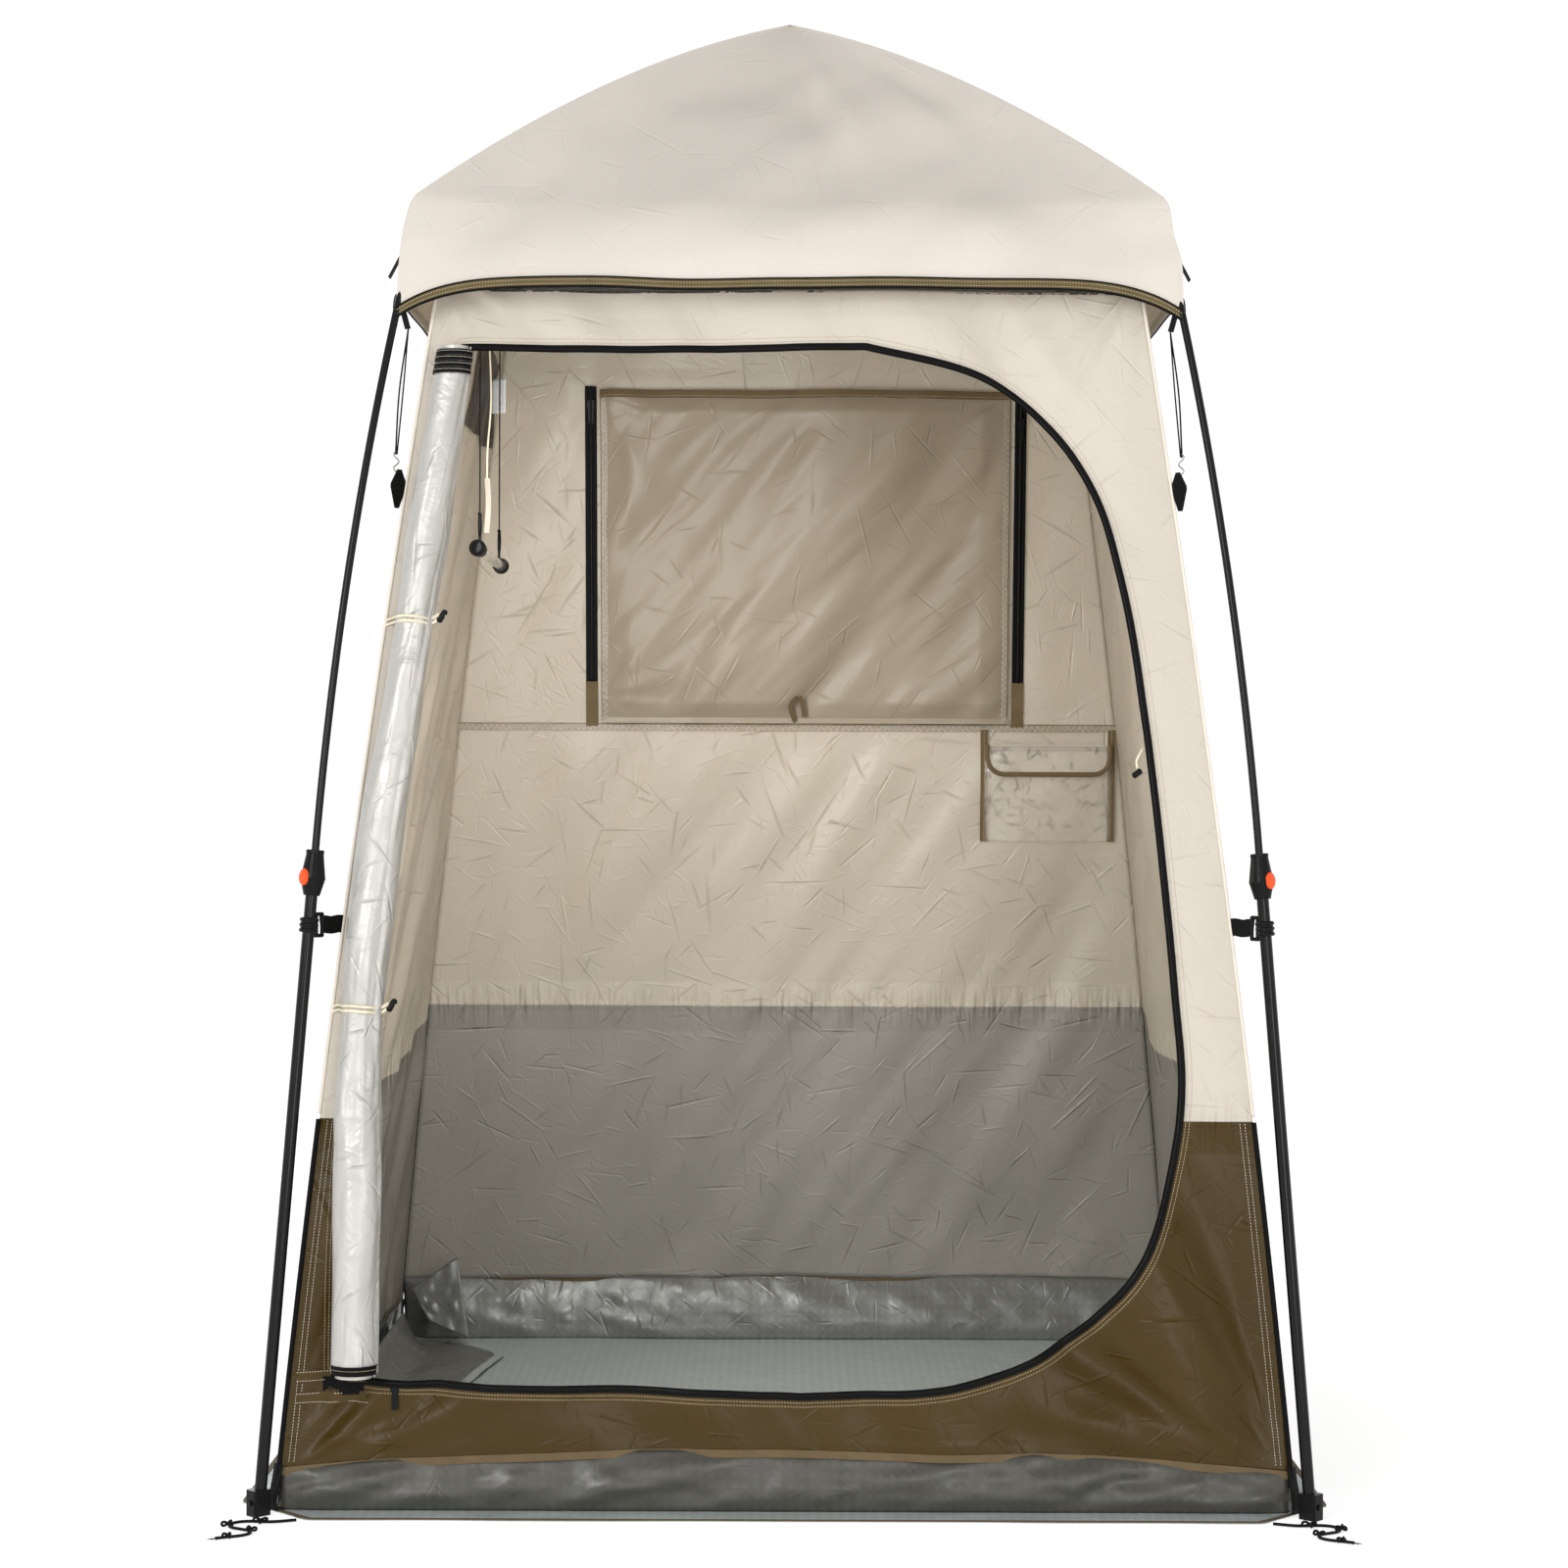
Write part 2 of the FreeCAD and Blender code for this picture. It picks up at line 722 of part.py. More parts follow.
def make_corner_ties():
    """Pole clip with webbing to the cabin's corner, strap to the ground, and elastic with its tab."""
    on_tube = foot_point + tube_way * (size("ClipHeight") / math.cos(lean))
    band = size("ClipBand")
    ring_base = on_tube - tube_way * (band / 2)
    ring = Part.makeCylinder(size("ClipOuterRadius"), band, ring_base, tube_way)
    bar_width = size("SlotBarWidth")
    bar_height = size("SlotBarHeight")
    inner_side = size("FootRadius") - size("ClipHeight") * math.tan(lean)
    inner_side -= size("ClipOuterRadius") + bar_width
    bar_thickness = size("SlotBarThickness")
    bar = Part.makeBox(
        bar_width + size("SlotBarOverlap"),
        bar_thickness,
        bar_height,
        Vector(inner_side, -bar_thickness / 2, size("ClipHeight") - bar_height / 2),
    )
    clip = ring.fuse(bar)
    clip = bored(clip, ring_base - tube_way * band, tube_way, size("ClipInnerRadius"), 3 * band)

    def corner_radius(height):
        return cabin_half(height) * math.sqrt(2)

    thickness = size("WebbingThickness")
    seam = corner_radius(size("ClipHeight")) + size("CornerSeam")
    webbing = Part.makeBox(
        inner_side - seam,
        thickness,
        size("WebbingWidth"),
        Vector(seam, -thickness / 2, size("ClipHeight") - size("WebbingWidth") / 2),
    )
    strap_top = at(corner_radius(size("CornerStrapTop")) + 4, size("CornerStrapTop"))
    strap_foot = at(corner_radius(0) + 1, size("CornerStrapFoot"))
    strap = flat_strap(strap_top, strap_foot, size("CornerStrapWidth"), thickness)
    tab_low = size("ElasticBottom") - size("TabHeight")
    tab = Part.makeBox(
        size("TabWidth"),
        thickness,
        size("TabHeight"),
        Vector(corner_radius(tab_low) + size("CornerSeam"), -thickness / 2, tab_low),
    )
    tab_middle = corner_radius(tab_low) + size("CornerSeam") + size("TabWidth") / 2
    hook = at(tab_middle, size("ElasticBottom") + 1)
    top = at(size("RodTopRadius") + size("ElasticTopOut"), size("ElasticTop"))
    run = top - hook
    elastic = [
        Part.makeCylinder(size("ElasticDiameter") / 2, run.Length, hook + ACROSS * side, run)
        for side in (-size("ElasticSpacing") / 2, size("ElasticSpacing") / 2)
    ]
    group = Part.makeCompound([clip.removeSplitter(), webbing, strap, tab] + elastic)
    for corner, angle in CORNERS.items():
        piece = keep(shaped(f"corner_tie_{corner}", group), f"corner_tie_{corner}")
        piece.Placement = turned(angle)


def flat_strap(start, end, width, thickness):
    """A flat strap between two points, its width across the diagonal."""
    run = end - start
    tilt = -math.degrees(math.atan2(run.z, run.x))
    strap = Part.makeBox(run.Length, width, thickness)
    strap.Placement = Placement(start - ACROSS * (width / 2), Rotation(ACROSS, tilt))
    return strap


# ---------------------------------------------------------------- roof fly
RIDGE_FALL = 0.42
RIDGE_CURVE = 0.00051
CROWN_ROWS = 9
SKIRT_ROWS = 5
PANEL_COLUMNS = 16


def ridge_point(share):
    """A point of the ridge over a rib, then of the corner that drops to the hem."""
    if share <= 1:
        half = size("RidgeStart") + (size("RidgeEnd") - size("RidgeStart")) * share
        return half, size("PeakHeight") - RIDGE_FALL * half - RIDGE_CURVE * half**2
    half, height = ridge_point(1)
    drop = share - 1
    out = (size("HemCornerHalf") - half) * math.sin(drop * math.pi / 2) ** 0.6
    return half + out, height + (size("HemCornerHeight") - height) * drop


def middle_point(share):
    """A point of the panel's middle line, a little hollow at first, then rounding to the hem."""
    if share <= 1:
        half = size("RidgeStart") + 505 * share**1.12
        return half, size("PeakHeight") - 0.755 * half
    half, height = middle_point(1)
    drop = share - 1
    out = (size("HemMiddleHalf") - half) * math.sin(drop * math.pi / 2)
    fall = 1 - math.cos(drop * math.pi / 2)
    fall = 0.55 * drop + 0.45 * fall
    return half + out, height + (size("HemMiddleHeight") - height) * fall


def fly_grid(inset):
    """Rows of points from the peak to the hem; inset moves the sheet inward."""
    rows = [number / CROWN_ROWS for number in range(CROWN_ROWS + 1)]
    rows += [1 + (number + 1) / SKIRT_ROWS for number in range(SKIRT_ROWS)]
    grid = []
    for share in rows:
        ridge, ridge_height = ridge_point(share)
        middle, middle_height = middle_point(share)
        power = 2 + 5 * max(0.0, share - 0.6)
        line = []
        for number in range(PANEL_COLUMNS + 1):
            across = math.sin((2 * number / PANEL_COLUMNS - 1) * math.pi / 2)
            crease = abs(across) ** power
            out = middle + (ridge - middle) * crease
            height = middle_height + (ridge_height - middle_height) * crease
            side = across * (ridge - size("PanelGap"))
            line.append(Vector(side, -out + inset, height - inset * 0.8))
        grid.append(line)
    return grid


def sheet_solid(front, back):
    """A thin closed solid between two grids of the same shape."""
    faces = []

    def triangle(first, second, third):
        faces.append(Part.Face(Part.makePolygon([first, second, third, first])))

    def quad(first, second, third, fourth):
        triangle(first, second, third)
        triangle(first, third, fourth)

    rows = len(front)
    columns = len(front[0])
    for row in range(rows - 1):
        for column in range(columns - 1):
            for grid in (front, back):
                quad(
                    grid[row][column],
                    grid[row][column + 1],
                    grid[row + 1][column + 1],
                    grid[row + 1][column],
                )
    for row in range(rows - 1):
        for column in (0, columns - 1):
            quad(
                front[row][column],
                front[row + 1][column],
                back[row + 1][column],
                back[row][column],
            )
    for column in range(columns - 1):
        for row in (0, rows - 1):
            quad(
                front[row][column],
                front[row][column + 1],
                back[row][column + 1],
                back[row][column],
            )
    shell = Part.Shell(faces)
    shell.sewShape()
    solid = Part.Solid(shell)
    if solid.Volume < 0:
        solid.reverse()
    return solid


def make_canopy():
    panel = sheet_solid(fly_grid(0), fly_grid(size("FabricThickness")))
    for side, angle in SIDES.items():
        piece = keep(shaped(f"canopy_{side}", panel), f"canopy_{side}")
        piece.Placement = turned(angle)


# ---------------------------------------------------------------- small fittings of the cabin
def wall_tilt(height):
    """The wall's lean from upright at a height, in degrees."""
    step = 10
    return math.degrees(math.atan((cabin_half(height - step) - cabin_half(height + step)) / (2 * step)))


def zip_slider(name, label, side, across, height, outside):
    """A zip slider's body with a pull tab, on a wall's outer or inner face."""
    width = size("SliderWidth")
    depth = size("SliderDepth")
    tall = size("SliderHeight")
    body = Part.makeBox(width, depth, tall, Vector(-width / 2, 0, -tall / 2))
    tab = Part.makeBox(
        size("PullWidth"),
        size("PullThickness"),
        size("PullLength"),
        Vector(-size("PullWidth") / 2, size("PullThickness"), -size("PullReach")),
    )
    slider = keep(shaped(name, body.fuse(tab).removeSplitter()), label)
    offset = size("SliderInside") - cabin_half(height)
    if outside:
        offset = -cabin_half(height) - size("SliderOutside")
    lean_way = Rotation(Vector(1, 0, 0), -wall_tilt(height))
    place = Placement(Vector(across, offset, height), lean_way)
    slider.Placement = turned(SIDES[side]).multiply(place)


def make_sliders():
    zip_slider("DoorSlider", "door_slider", "front", -545, 174, True)
    zip_slider("WindowSliderLeft", "window_slider_left", "rear", 351, 1690, False)
    zip_slider("WindowSliderRight", "window_slider_right", "rear", -414, 1660, False)


def make_pocket():
    width = size("PocketWidth")
    height = size("PocketHeight")
    outer = add(
        "Part::Box",
        "PocketOuter",
        Vector(-width / 2, 0, 0),
        Length="@PocketWidth",
        Width="@PocketDepth",
        Height="@PocketHeight",
    )
    inner = add(
        "Part::Box",
        "PocketInner",
        Vector(-width / 2 + size("PocketWall"), size("PocketWall"), size("PocketWall")),
        Length="@PocketWidth - 2 * @PocketWall",
        Width="@PocketDepth - 2 * @PocketWall",
        Height="@PocketHeight",
    )
    pocket = keep(cut("Pocket", outer, inner), "pocket")
    low = size("PocketBottom")
    middle = low + height / 2
    tilt = Rotation(Vector(1, 0, 0), -wall_tilt(middle))
    stand = size("PocketStand") - cabin_half(low)
    place = Placement(Vector(-size("PocketCentre"), stand, low), tilt)
    pocket.Placement = turned(SIDES["rear"]).multiply(place)

    flap = add(
        "Part::Box",
        "PocketFlap",
        Length="@PocketWidth - 2 * @PocketFlapInset",
        Width="@PocketFlapThickness",
        Height="@PocketFlapHeight",
    )
    inner_side = Vector(
        -width / 2 + size("PocketFlapInset"),
        size("PocketDepth") + size("PocketFlapThickness"),
        height - size("PocketFlapOverlap"),
    )
    flap.Placement = pocket.Placement.multiply(Placement(inner_side, Rotation()))
    keep(flap, "pocket_flap")


def make_rail():
    """A rail that hangs from two straps beside the left wall."""
    side = -size("RailSide")
    front = -size("RailFront")
    height = size("RailHeight")
    tube = add(
        "Part::Cylinder",
        "RailTube",
        Vector(side, front, height),
        Rotation(Vector(1, 0, 0), -90),
        Radius="@RailRadius",
        Height="@RailLength",
    )
    keep(tube, "rail_tube")
    back = front + size("RailLength")
    caps = []
    straps = []
    width = size("RailStrapWidth")
    bore = size("RailRadius")
    collar_width = size("RailCollarWidth")
    hook_width = size("RailHookWidth")
    hook_depth = size("RailHookDepth")
    thickness = size("WebbingThickness")
    for end, way in ((front, -1), (back, 1)):
        ball_centre = Vector(side, end + way * size("RailBallOut"), height)
        ball = Part.makeSphere(size("RailBallRadius"), ball_centre)
        ball = bored(ball, Vector(side, end, height), ACROSS * -way, bore, size("RailBallBore"))
        middle = end - way * size("RailCollarIn")
        start = Vector(side, middle - collar_width / 2, height)
        collar = Part.makeCylinder(bore + size("RailCollarWall"), collar_width, start, ACROSS)
        hook = Part.makeBox(
            hook_width,
            hook_depth,
            size("RailHookHeight"),
            Vector(side - hook_width / 2, middle - hook_depth / 2, height + size("RailHookStart")),
        )
        collar = bored(collar.fuse(hook), start - ACROSS * width, ACROSS, bore, 3 * width)
        caps += [ball, collar.removeSplitter()]
        low = height + size("RailHookStart") + size("RailHookHeight")
        straps.append(
            Part.makeBox(
                thickness,
                width,
                size("RailStrapTop") - low,
                Vector(side - thickness / 2, middle - width / 2, low),
            )
        )
    keep(shaped("RailCaps", Part.makeCompound(caps)), "rail_caps")
    keep(shaped("RailStraps", Part.makeCompound(straps)), "rail_straps")


# ---------------------------------------------------------------- ground sheet and stake cords
def make_ground_sheet():
    body = doc.addObject("PartDesign::Body", "GroundSheet")
    plane = next(f for f in body.Origin.OriginFeatures if f.Role == "XY_Plane")
    sketch = body.newObject("Sketcher::SketchObject", "GroundSheetOutline")
    sketch.AttachmentSupport = [(plane, "")]
    sketch.MapMode = "FlatFace"
    half = size("SheetHalf")
    cut_off = half - size("SheetChamfer")
    corners = []
    for sign_x, sign_y in ((1, 1), (-1, 1), (-1, -1), (1, -1)):
        pair = [Vector(sign_x * half, sign_y * cut_off), Vector(sign_x * cut_off, sign_y * half)]
        corners += pair if sign_x * sign_y > 0 else pair[::-1]
    for number, point in enumerate(corners):
        sketch.addGeometry(Part.LineSegment(point, corners[(number + 1) % len(corners)]))
    pad = body.newObject("PartDesign::Pad", "GroundSheetPad")
    pad.Profile = sketch
    bind(pad, Length="@SheetThickness")
    keep(body, "ground_sheet")


# Route of the front left stake cord, from the ground sheet's edge to its end knot.
STAKE_CORD = [
    (-672, -768),
    (-686, -774),
    (-702, -780),
    (-720, -779),
    (-737, -776),
    (-753, -783),
    (-760, -799),
    (-753, -815),
    (-738, -823),
    (-724, -832),
    (-721, -848),
    (-732, -861),
    (-749, -868),
    (-764, -876),
]


def cord_shape(points, radius):
    """Straight runs joined by the largest arcs that the runs allow."""
    edges = []
    radii = []
    last = points[0]
    for before, point, after in zip(points, points[1:], points[2:]):
        to_before = before - point
        to_after = after - point
        turn = math.pi - to_before.getAngle(to_after)
        shorter = min(to_before.Length, to_after.Length)
        arc_radius = 0.45 * shorter / math.tan(turn / 2)
        reach = 0.45 * shorter
        start = point + to_before.normalize() * reach
        finish = point + to_after.normalize() * reach
        inward = (to_before + to_after).normalize()
        inside = arc_radius / math.cos(turn / 2) - arc_radius
        edges.append(Part.makeLine(last, start))
        edges.append(Part.Arc(start, point + inward * inside, finish).toShape())
        radii.append(arc_radius)
        last = finish
    edges.append(Part.makeLine(last, points[-1]))
    cord = swept(edges, radius)
    length = sum(edge.Length for edge in edges)
    print(f"stake cord: length {length:.1f}, smallest radius {min(radii):.1f}")
    print(f"  volume {cord.Volume:.1f} against {math.pi * radius**2 * length:.1f}")
    return cord


def make_stake_cords():
    radius = size("StakeCordDiameter") / 2
    for corner, mirror in (("fl", 1), ("fr", -1)):
        points = [Vector(mirror * x, y, radius) for x, y in STAKE_CORD]
        keep(shaped(f"StakeCord_{corner}", cord_shape(points, radius)), f"stake_cord_{corner}")


make_hub()
make_ribs()
make_legs()
make_walls()
make_window_flap()
make_door_roll()
make_corner_ties()
make_canopy()
make_sliders()
make_pocket()
make_rail()
make_ground_sheet()
make_stake_cords()
doc.recompute()

for feature in doc.Objects:
    if "Invalid" in feature.State or "Error" in feature.State:
        raise RuntimeError(f"{feature.Label} failed: {feature.State}")
for node in nodes:
    if node.Shape.isNull() or not node.Shape.isValid():
        raise RuntimeError(f"{node.Label} has no valid shape")

os.makedirs("parts", exist_ok=True)
for node in nodes:
    node.Shape.exportStep(f"parts/{node.Label}.step")
print(f"{len(nodes)} nodes written")
print(f"knuckle pivot {knuckle.x:.3f}, {knuckle.z:.3f}")
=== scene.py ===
"""Privacy shower tent: its looks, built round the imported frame. Metres, +Z up, the door faces -Y."""

import math

import bpy
import numpy as np
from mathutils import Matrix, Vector


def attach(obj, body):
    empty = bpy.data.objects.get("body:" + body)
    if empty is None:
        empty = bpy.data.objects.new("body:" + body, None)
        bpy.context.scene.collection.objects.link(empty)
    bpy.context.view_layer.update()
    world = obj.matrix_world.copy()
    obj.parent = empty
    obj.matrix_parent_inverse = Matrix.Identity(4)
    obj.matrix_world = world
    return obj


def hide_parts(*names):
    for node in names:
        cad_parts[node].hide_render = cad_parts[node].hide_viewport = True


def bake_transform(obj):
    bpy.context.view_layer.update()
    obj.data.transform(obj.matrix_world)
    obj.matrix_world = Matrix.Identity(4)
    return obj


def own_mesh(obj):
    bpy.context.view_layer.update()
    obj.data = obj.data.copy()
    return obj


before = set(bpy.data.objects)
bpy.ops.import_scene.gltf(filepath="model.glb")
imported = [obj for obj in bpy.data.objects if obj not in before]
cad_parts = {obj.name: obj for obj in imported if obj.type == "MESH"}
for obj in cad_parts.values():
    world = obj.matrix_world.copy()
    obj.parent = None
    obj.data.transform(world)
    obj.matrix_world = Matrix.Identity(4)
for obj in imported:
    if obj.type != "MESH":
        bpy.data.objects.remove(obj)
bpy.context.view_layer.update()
scene = bpy.context.scene

# ---------------------------------------------------------------- lines of the tent
CABIN_PROFILE = ((0.7095, 0.008), (0.620, 0.890), (0.503, 1.795))  # half width, height
FOOT_RADIUS = 1.0324
LEG_LEAN = math.radians(5.75)
CONNECTOR_TOP = 0.926
ROD_TOP = (0.762, 1.830)  # radius, height
CLOTH = 0.0008
SIDES = {"front": 0, "right": 90, "rear": 180, "left": 270}
CORNERS = {"fl": 225, "fr": 315, "rr": 45, "rl": 135}
SIDE_CORNER = {"front": "fl", "right": "fr", "rear": "rr", "left": "rl"}
ROOT2 = math.sqrt(2)
TURN = 2 * math.pi


def circle_through(first, second, third):
    """Centre and radius of the circle through three points of a plane."""
    (ax, ay), (bx, by), (cx, cy) = first, second, third
    d = 2 * (ax * (by - cy) + bx * (cy - ay) + cx * (ay - by))
    a2, b2, c2 = ax * ax + ay * ay, bx * bx + by * by, cx * cx + cy * cy
    ux = (a2 * (by - cy) + b2 * (cy - ay) + c2 * (ay - by)) / d
    uy = (a2 * (cx - bx) + b2 * (ax - cx) + c2 * (bx - ax)) / d
    return (ux, uy), math.hypot(ax - ux, ay - uy)


PROFILE_CENTRE, PROFILE_RADIUS = circle_through(*CABIN_PROFILE)


def cabin_half(z):
    """Half width of the cabin at a height."""
    return PROFILE_CENTRE[0] + np.sqrt(PROFILE_RADIUS**2 - (np.asarray(z) - PROFILE_CENTRE[1]) ** 2)


def turned(points, degrees):
    """Points turned round the tent's upright axis."""
    c, s = math.cos(math.radians(degrees)), math.sin(math.radians(degrees))
    points = np.asarray(points, float)
    x, y, z = points[..., 0], points[..., 1], points[..., 2]
    return np.stack([c * x - s * y, s * x + c * y, z], -1)


def as_grid(*values):
    return np.broadcast_arrays(*(np.asarray(value, float) for value in values))


def grid(across, up):
    """Two coordinates over a grid; each is given as first value, last value and count."""
    return as_grid(np.linspace(*across)[None, :], np.linspace(*up)[:, None])


def on_wall(x, z, out=0.0, side="front"):
    """Points of a wall: across, height, and metres outward of the cabin's face."""
    x, z, out = as_grid(x, z, out)
    return turned(np.stack([x, -(cabin_half(z) + out), z], -1), SIDES[side])


def soft_noise(u, v, seed):
    """Smooth noise from -1 to 1 over a plane whose cells are one unit wide."""
    table = np.random.default_rng(seed).uniform(-1, 1, (64, 64))
    iu, iv = np.floor(u).astype(int), np.floor(v).astype(int)
    fu, fv = u - iu, v - iv
    fu, fv = fu * fu * (3 - 2 * fu), fv * fv * (3 - 2 * fv)

    def at(a, b):
        return table[a % 64, b % 64]

    low = at(iu, iv) * (1 - fu) + at(iu + 1, iv) * fu
    high = at(iu, iv + 1) * (1 - fu) + at(iu + 1, iv + 1) * fu
    return low * (1 - fv) + high * fv


def long_folds(x, z, way, length, width, seed):
    """Folds that run along a direction, given in degrees from the horizontal."""
    c, s = math.cos(math.radians(way)), math.sin(math.radians(way))
    along, across = x * c + z * s, z * c - x * s
    first = soft_noise(along / length, across / width, seed)
    return first + 0.45 * soft_noise(along / length + 9, across / width * 2.1, seed + 1)


def fan_folds(x, z, centre, folds, reach, seed):
    """Folds that spread from a point and fade with distance."""
    dx, dz = x - centre[0], z - centre[1]
    distance = np.hypot(dx, dz)
    angle = np.arctan2(dz, dx) / math.pi * folds
    return soft_noise(angle + 20, distance / 0.35, seed) * np.exp(-distance / reach)


def bell(value, middle, width):
    """One at the middle value, fading to nothing either side of it."""
    return np.exp(-(((value - middle) / width) ** 2))


# ---------------------------------------------------------------- meshes
def new_mesh(name, points, faces, materials, uv=None, smooth=True):
    mesh = bpy.data.meshes.new(name)
    mesh.from_pydata(np.asarray(points, float).reshape(-1, 3).tolist(), [], faces)
    for material in materials:
        mesh.materials.append(material)
    if smooth:
        mesh.shade_smooth()
    if uv is not None:
        uv = np.asarray(uv, float).reshape(-1, 2)
        corners = np.empty(len(mesh.loops), int)
        mesh.loops.foreach_get("vertex_index", corners)
        mesh.uv_layers.new(name="Cloth").data.foreach_set("uv", uv[corners].ravel())
    thing = bpy.data.objects.new(name, mesh)
    scene.collection.objects.link(thing)
    return thing


def grid_faces(rows, columns, closed=False, flip=False):
    faces = []
    for row in range(rows - 1):
        for column in range(columns if closed else columns - 1):
            after = (column + 1) % columns
            quad = (row * columns + column, row * columns + after)
            quad += ((row + 1) * columns + after, (row + 1) * columns + column)
            faces.append(quad[::-1] if flip else quad)
    return faces


def capped_faces(rings, sides):
    """Faces of a closed tube of rings, with an end face on each end."""
    ends = [tuple(range(sides))[::-1], tuple((rings - 1) * sides + n for n in range(sides))]
    return grid_faces(rings, sides, closed=True) + ends


def cloth_sheet(name, points, outer, inner, uv, closed=False, flip=False, thickness=CLOTH):
    """A sheet from rows of points; its thickness lies behind the outer face."""
    rows, columns = points.shape[:2]
    thing = new_mesh(name, points, grid_faces(rows, columns, closed, flip), [outer, inner], uv)
    solid = thing.modifiers.new("Thickness", "SOLIDIFY")
    solid.thickness = thickness
    solid.offset = -1
    solid.material_offset = 1
    solid.material_offset_rim = 0
    return thing


def path_frames(path):
    """Unit tangents of a path."""
    ways = np.gradient(np.asarray(path, float), axis=0)
    return ways / np.linalg.norm(ways, axis=1, keepdims=True)


def unit(vectors):
    vectors = np.asarray(vectors, float)
    return vectors / np.linalg.norm(vectors, axis=-1, keepdims=True)


def tube(name, path, radius, material, sides=12, up=(0, 0, 1), flat=1.0, caps=True):
    """A round or oval tube along a path; flat scales it along the up direction."""
    path = np.asarray(path, float)
    ways = path_frames(path)
    radius = np.broadcast_to(np.asarray(radius, float), (len(path),))
    across = np.cross(ways[0], up)
    if np.linalg.norm(across) < 1e-3:
        across = np.cross(ways[0], (1, 0, 0))
    across = unit(across)
    turns = np.arange(sides) / sides * TURN
    rings = []
    for point, way, size in zip(path, ways, radius):
        across = unit(across - way * np.dot(across, way))
        above = np.cross(across, way)
        ring = np.cos(turns)[:, None] * across + flat * np.sin(turns)[:, None] * above
        rings.append(point + size * ring)
    faces = capped_faces(len(path), sides) if caps else grid_faces(len(path), sides, closed=True)
    return new_mesh(name, np.array(rings), faces, [material])


RIBBON_OUTLINE = ((-0.5, 0), (0.5, 0), (0.5, 1), (0.25, 1.15), (-0.25, 1.15), (-0.5, 1))


def ribbon(name, path, side, width, thickness, material, lift=0.0):
    """A flat band along a path; side points across its width, and it lies lift above the path."""
    path = np.asarray(path, float)
    ways = path_frames(path)
    side = unit(np.broadcast_to(np.asarray(side, float), path.shape))
    side = unit(side - ways * np.sum(side * ways, -1, keepdims=True))
    above = np.cross(ways, side)
    rings = [path + side * width * a + above * (lift + thickness * b) for a, b in RIBBON_OUTLINE]
    length = np.concatenate([[0], np.cumsum(np.linalg.norm(np.diff(path, axis=0), axis=1))])
    across = width * np.array([a for a, _ in RIBBON_OUTLINE])
    uv = np.stack(np.broadcast_arrays(across[None, :], length[:, None]), -1)
    faces = capped_faces(len(path), len(RIBBON_OUTLINE))
    return new_mesh(name, np.stack(rings, 1), faces, [material], uv, smooth=False)


def resample(path, step):
    """Points at even steps along a path."""
    path = np.asarray(path, float)
    length = np.concatenate([[0], np.cumsum(np.linalg.norm(np.diff(path, axis=0), axis=1))])
    count = max(2, int(round(length[-1] / step)) + 1)
    at = np.linspace(0, length[-1], count)
    return np.stack([np.interp(at, length, path[:, k]) for k in range(path.shape[1])], -1)


def smooth3(points, step):
    """A smooth path through points of space."""
    points = np.asarray(points, float)
    ends = np.concatenate([[2 * points[0] - points[1]], points, [2 * points[-1] - points[-2]]])
    line = []
    for a, b, c, d in zip(ends, ends[1:], ends[2:], ends[3:]):
        for t in np.linspace(0, 1, 16, endpoint=False):
            curve = 2 * b + (c - a) * t + (2 * a - 5 * b + 4 * c - d) * t**2
            line.append((curve + (3 * b - a - 3 * c + d) * t**3) / 2)
    line.append(points[-1])
    return resample(line, step)


STITCH_PITCH = 0.0042
STITCH_LENGTH = 0.0029
STITCH_RADIUS = 0.00042
STITCH_PROFILE = ((-1, 0, 0.2), (-0.6, 1, 1), (0.6, 1, 1), (1, 0, 0.2))  # along, rise, fatness


def stitches(name, path, above, material):
    """A row of thread stitches along a path, on the surface below it."""
    path = np.asarray(path, float)
    above = np.broadcast_to(np.asarray(above, float), path.shape)
    joined = resample(np.concatenate([path, above], 1), STITCH_PITCH)
    path, above = joined[:, :3], unit(joined[:, 3:])
    ways = path_frames(path)
    across = unit(np.cross(ways, above))
    points, faces = [], []
    for spot, way, over, up in zip(path, ways, across, above):
        start = len(points)
        for along, rise, fat in STITCH_PROFILE:
            base = spot + way * along * STITCH_LENGTH / 2 + up * STITCH_RADIUS * rise
            wide, high = over * STITCH_RADIUS * fat, up * STITCH_RADIUS * fat
            points += [base - wide, base + high, base + wide]
        for number in range(len(STITCH_PROFILE) - 1):
            for corner in range(2):
                low = start + number * 3 + corner
                faces.append((low, low + 3, low + 4, low + 1))
    return new_mesh(name, points, faces, [material])


def join(name, things):
    """Joins meshes that ride together into one piece."""
    points, faces, materials, slots = [], [], [], []
    for thing in things:
        mesh = thing.data
        start = len(points)
        points += [tuple(vertex.co) for vertex in mesh.vertices]
        for material in mesh.materials:
            if material not in materials:
                materials.append(material)
        for polygon in mesh.polygons:
            faces.append([start + v for v in polygon.vertices])
            material = mesh.materials[polygon.material_index]
            slots.append((materials.index(material), polygon.use_smooth))
    piece = new_mesh(name, points, faces, materials)
    for polygon, (slot, smooth) in zip(piece.data.polygons, slots):
        polygon.material_index = slot
        polygon.use_smooth = smooth
    for thing in things:
        bpy.data.objects.remove(thing)
    return piece


def sheet_area(points, closed=False):
    """Area of a sheet of points, for the size of its flat cut."""
    if closed:
        points = np.concatenate([points, points[:, :1]], 1)
    a, b = points[1:, :-1] - points[:-1, :-1], points[:-1, 1:] - points[:-1, :-1]
    return float(np.linalg.norm(np.cross(a, b), axis=-1).sum())


# ---------------------------------------------------------------- riding the folding frame
def carried(thing, body):
    """Sets the body that a piece rides on."""
    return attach(thing, body)


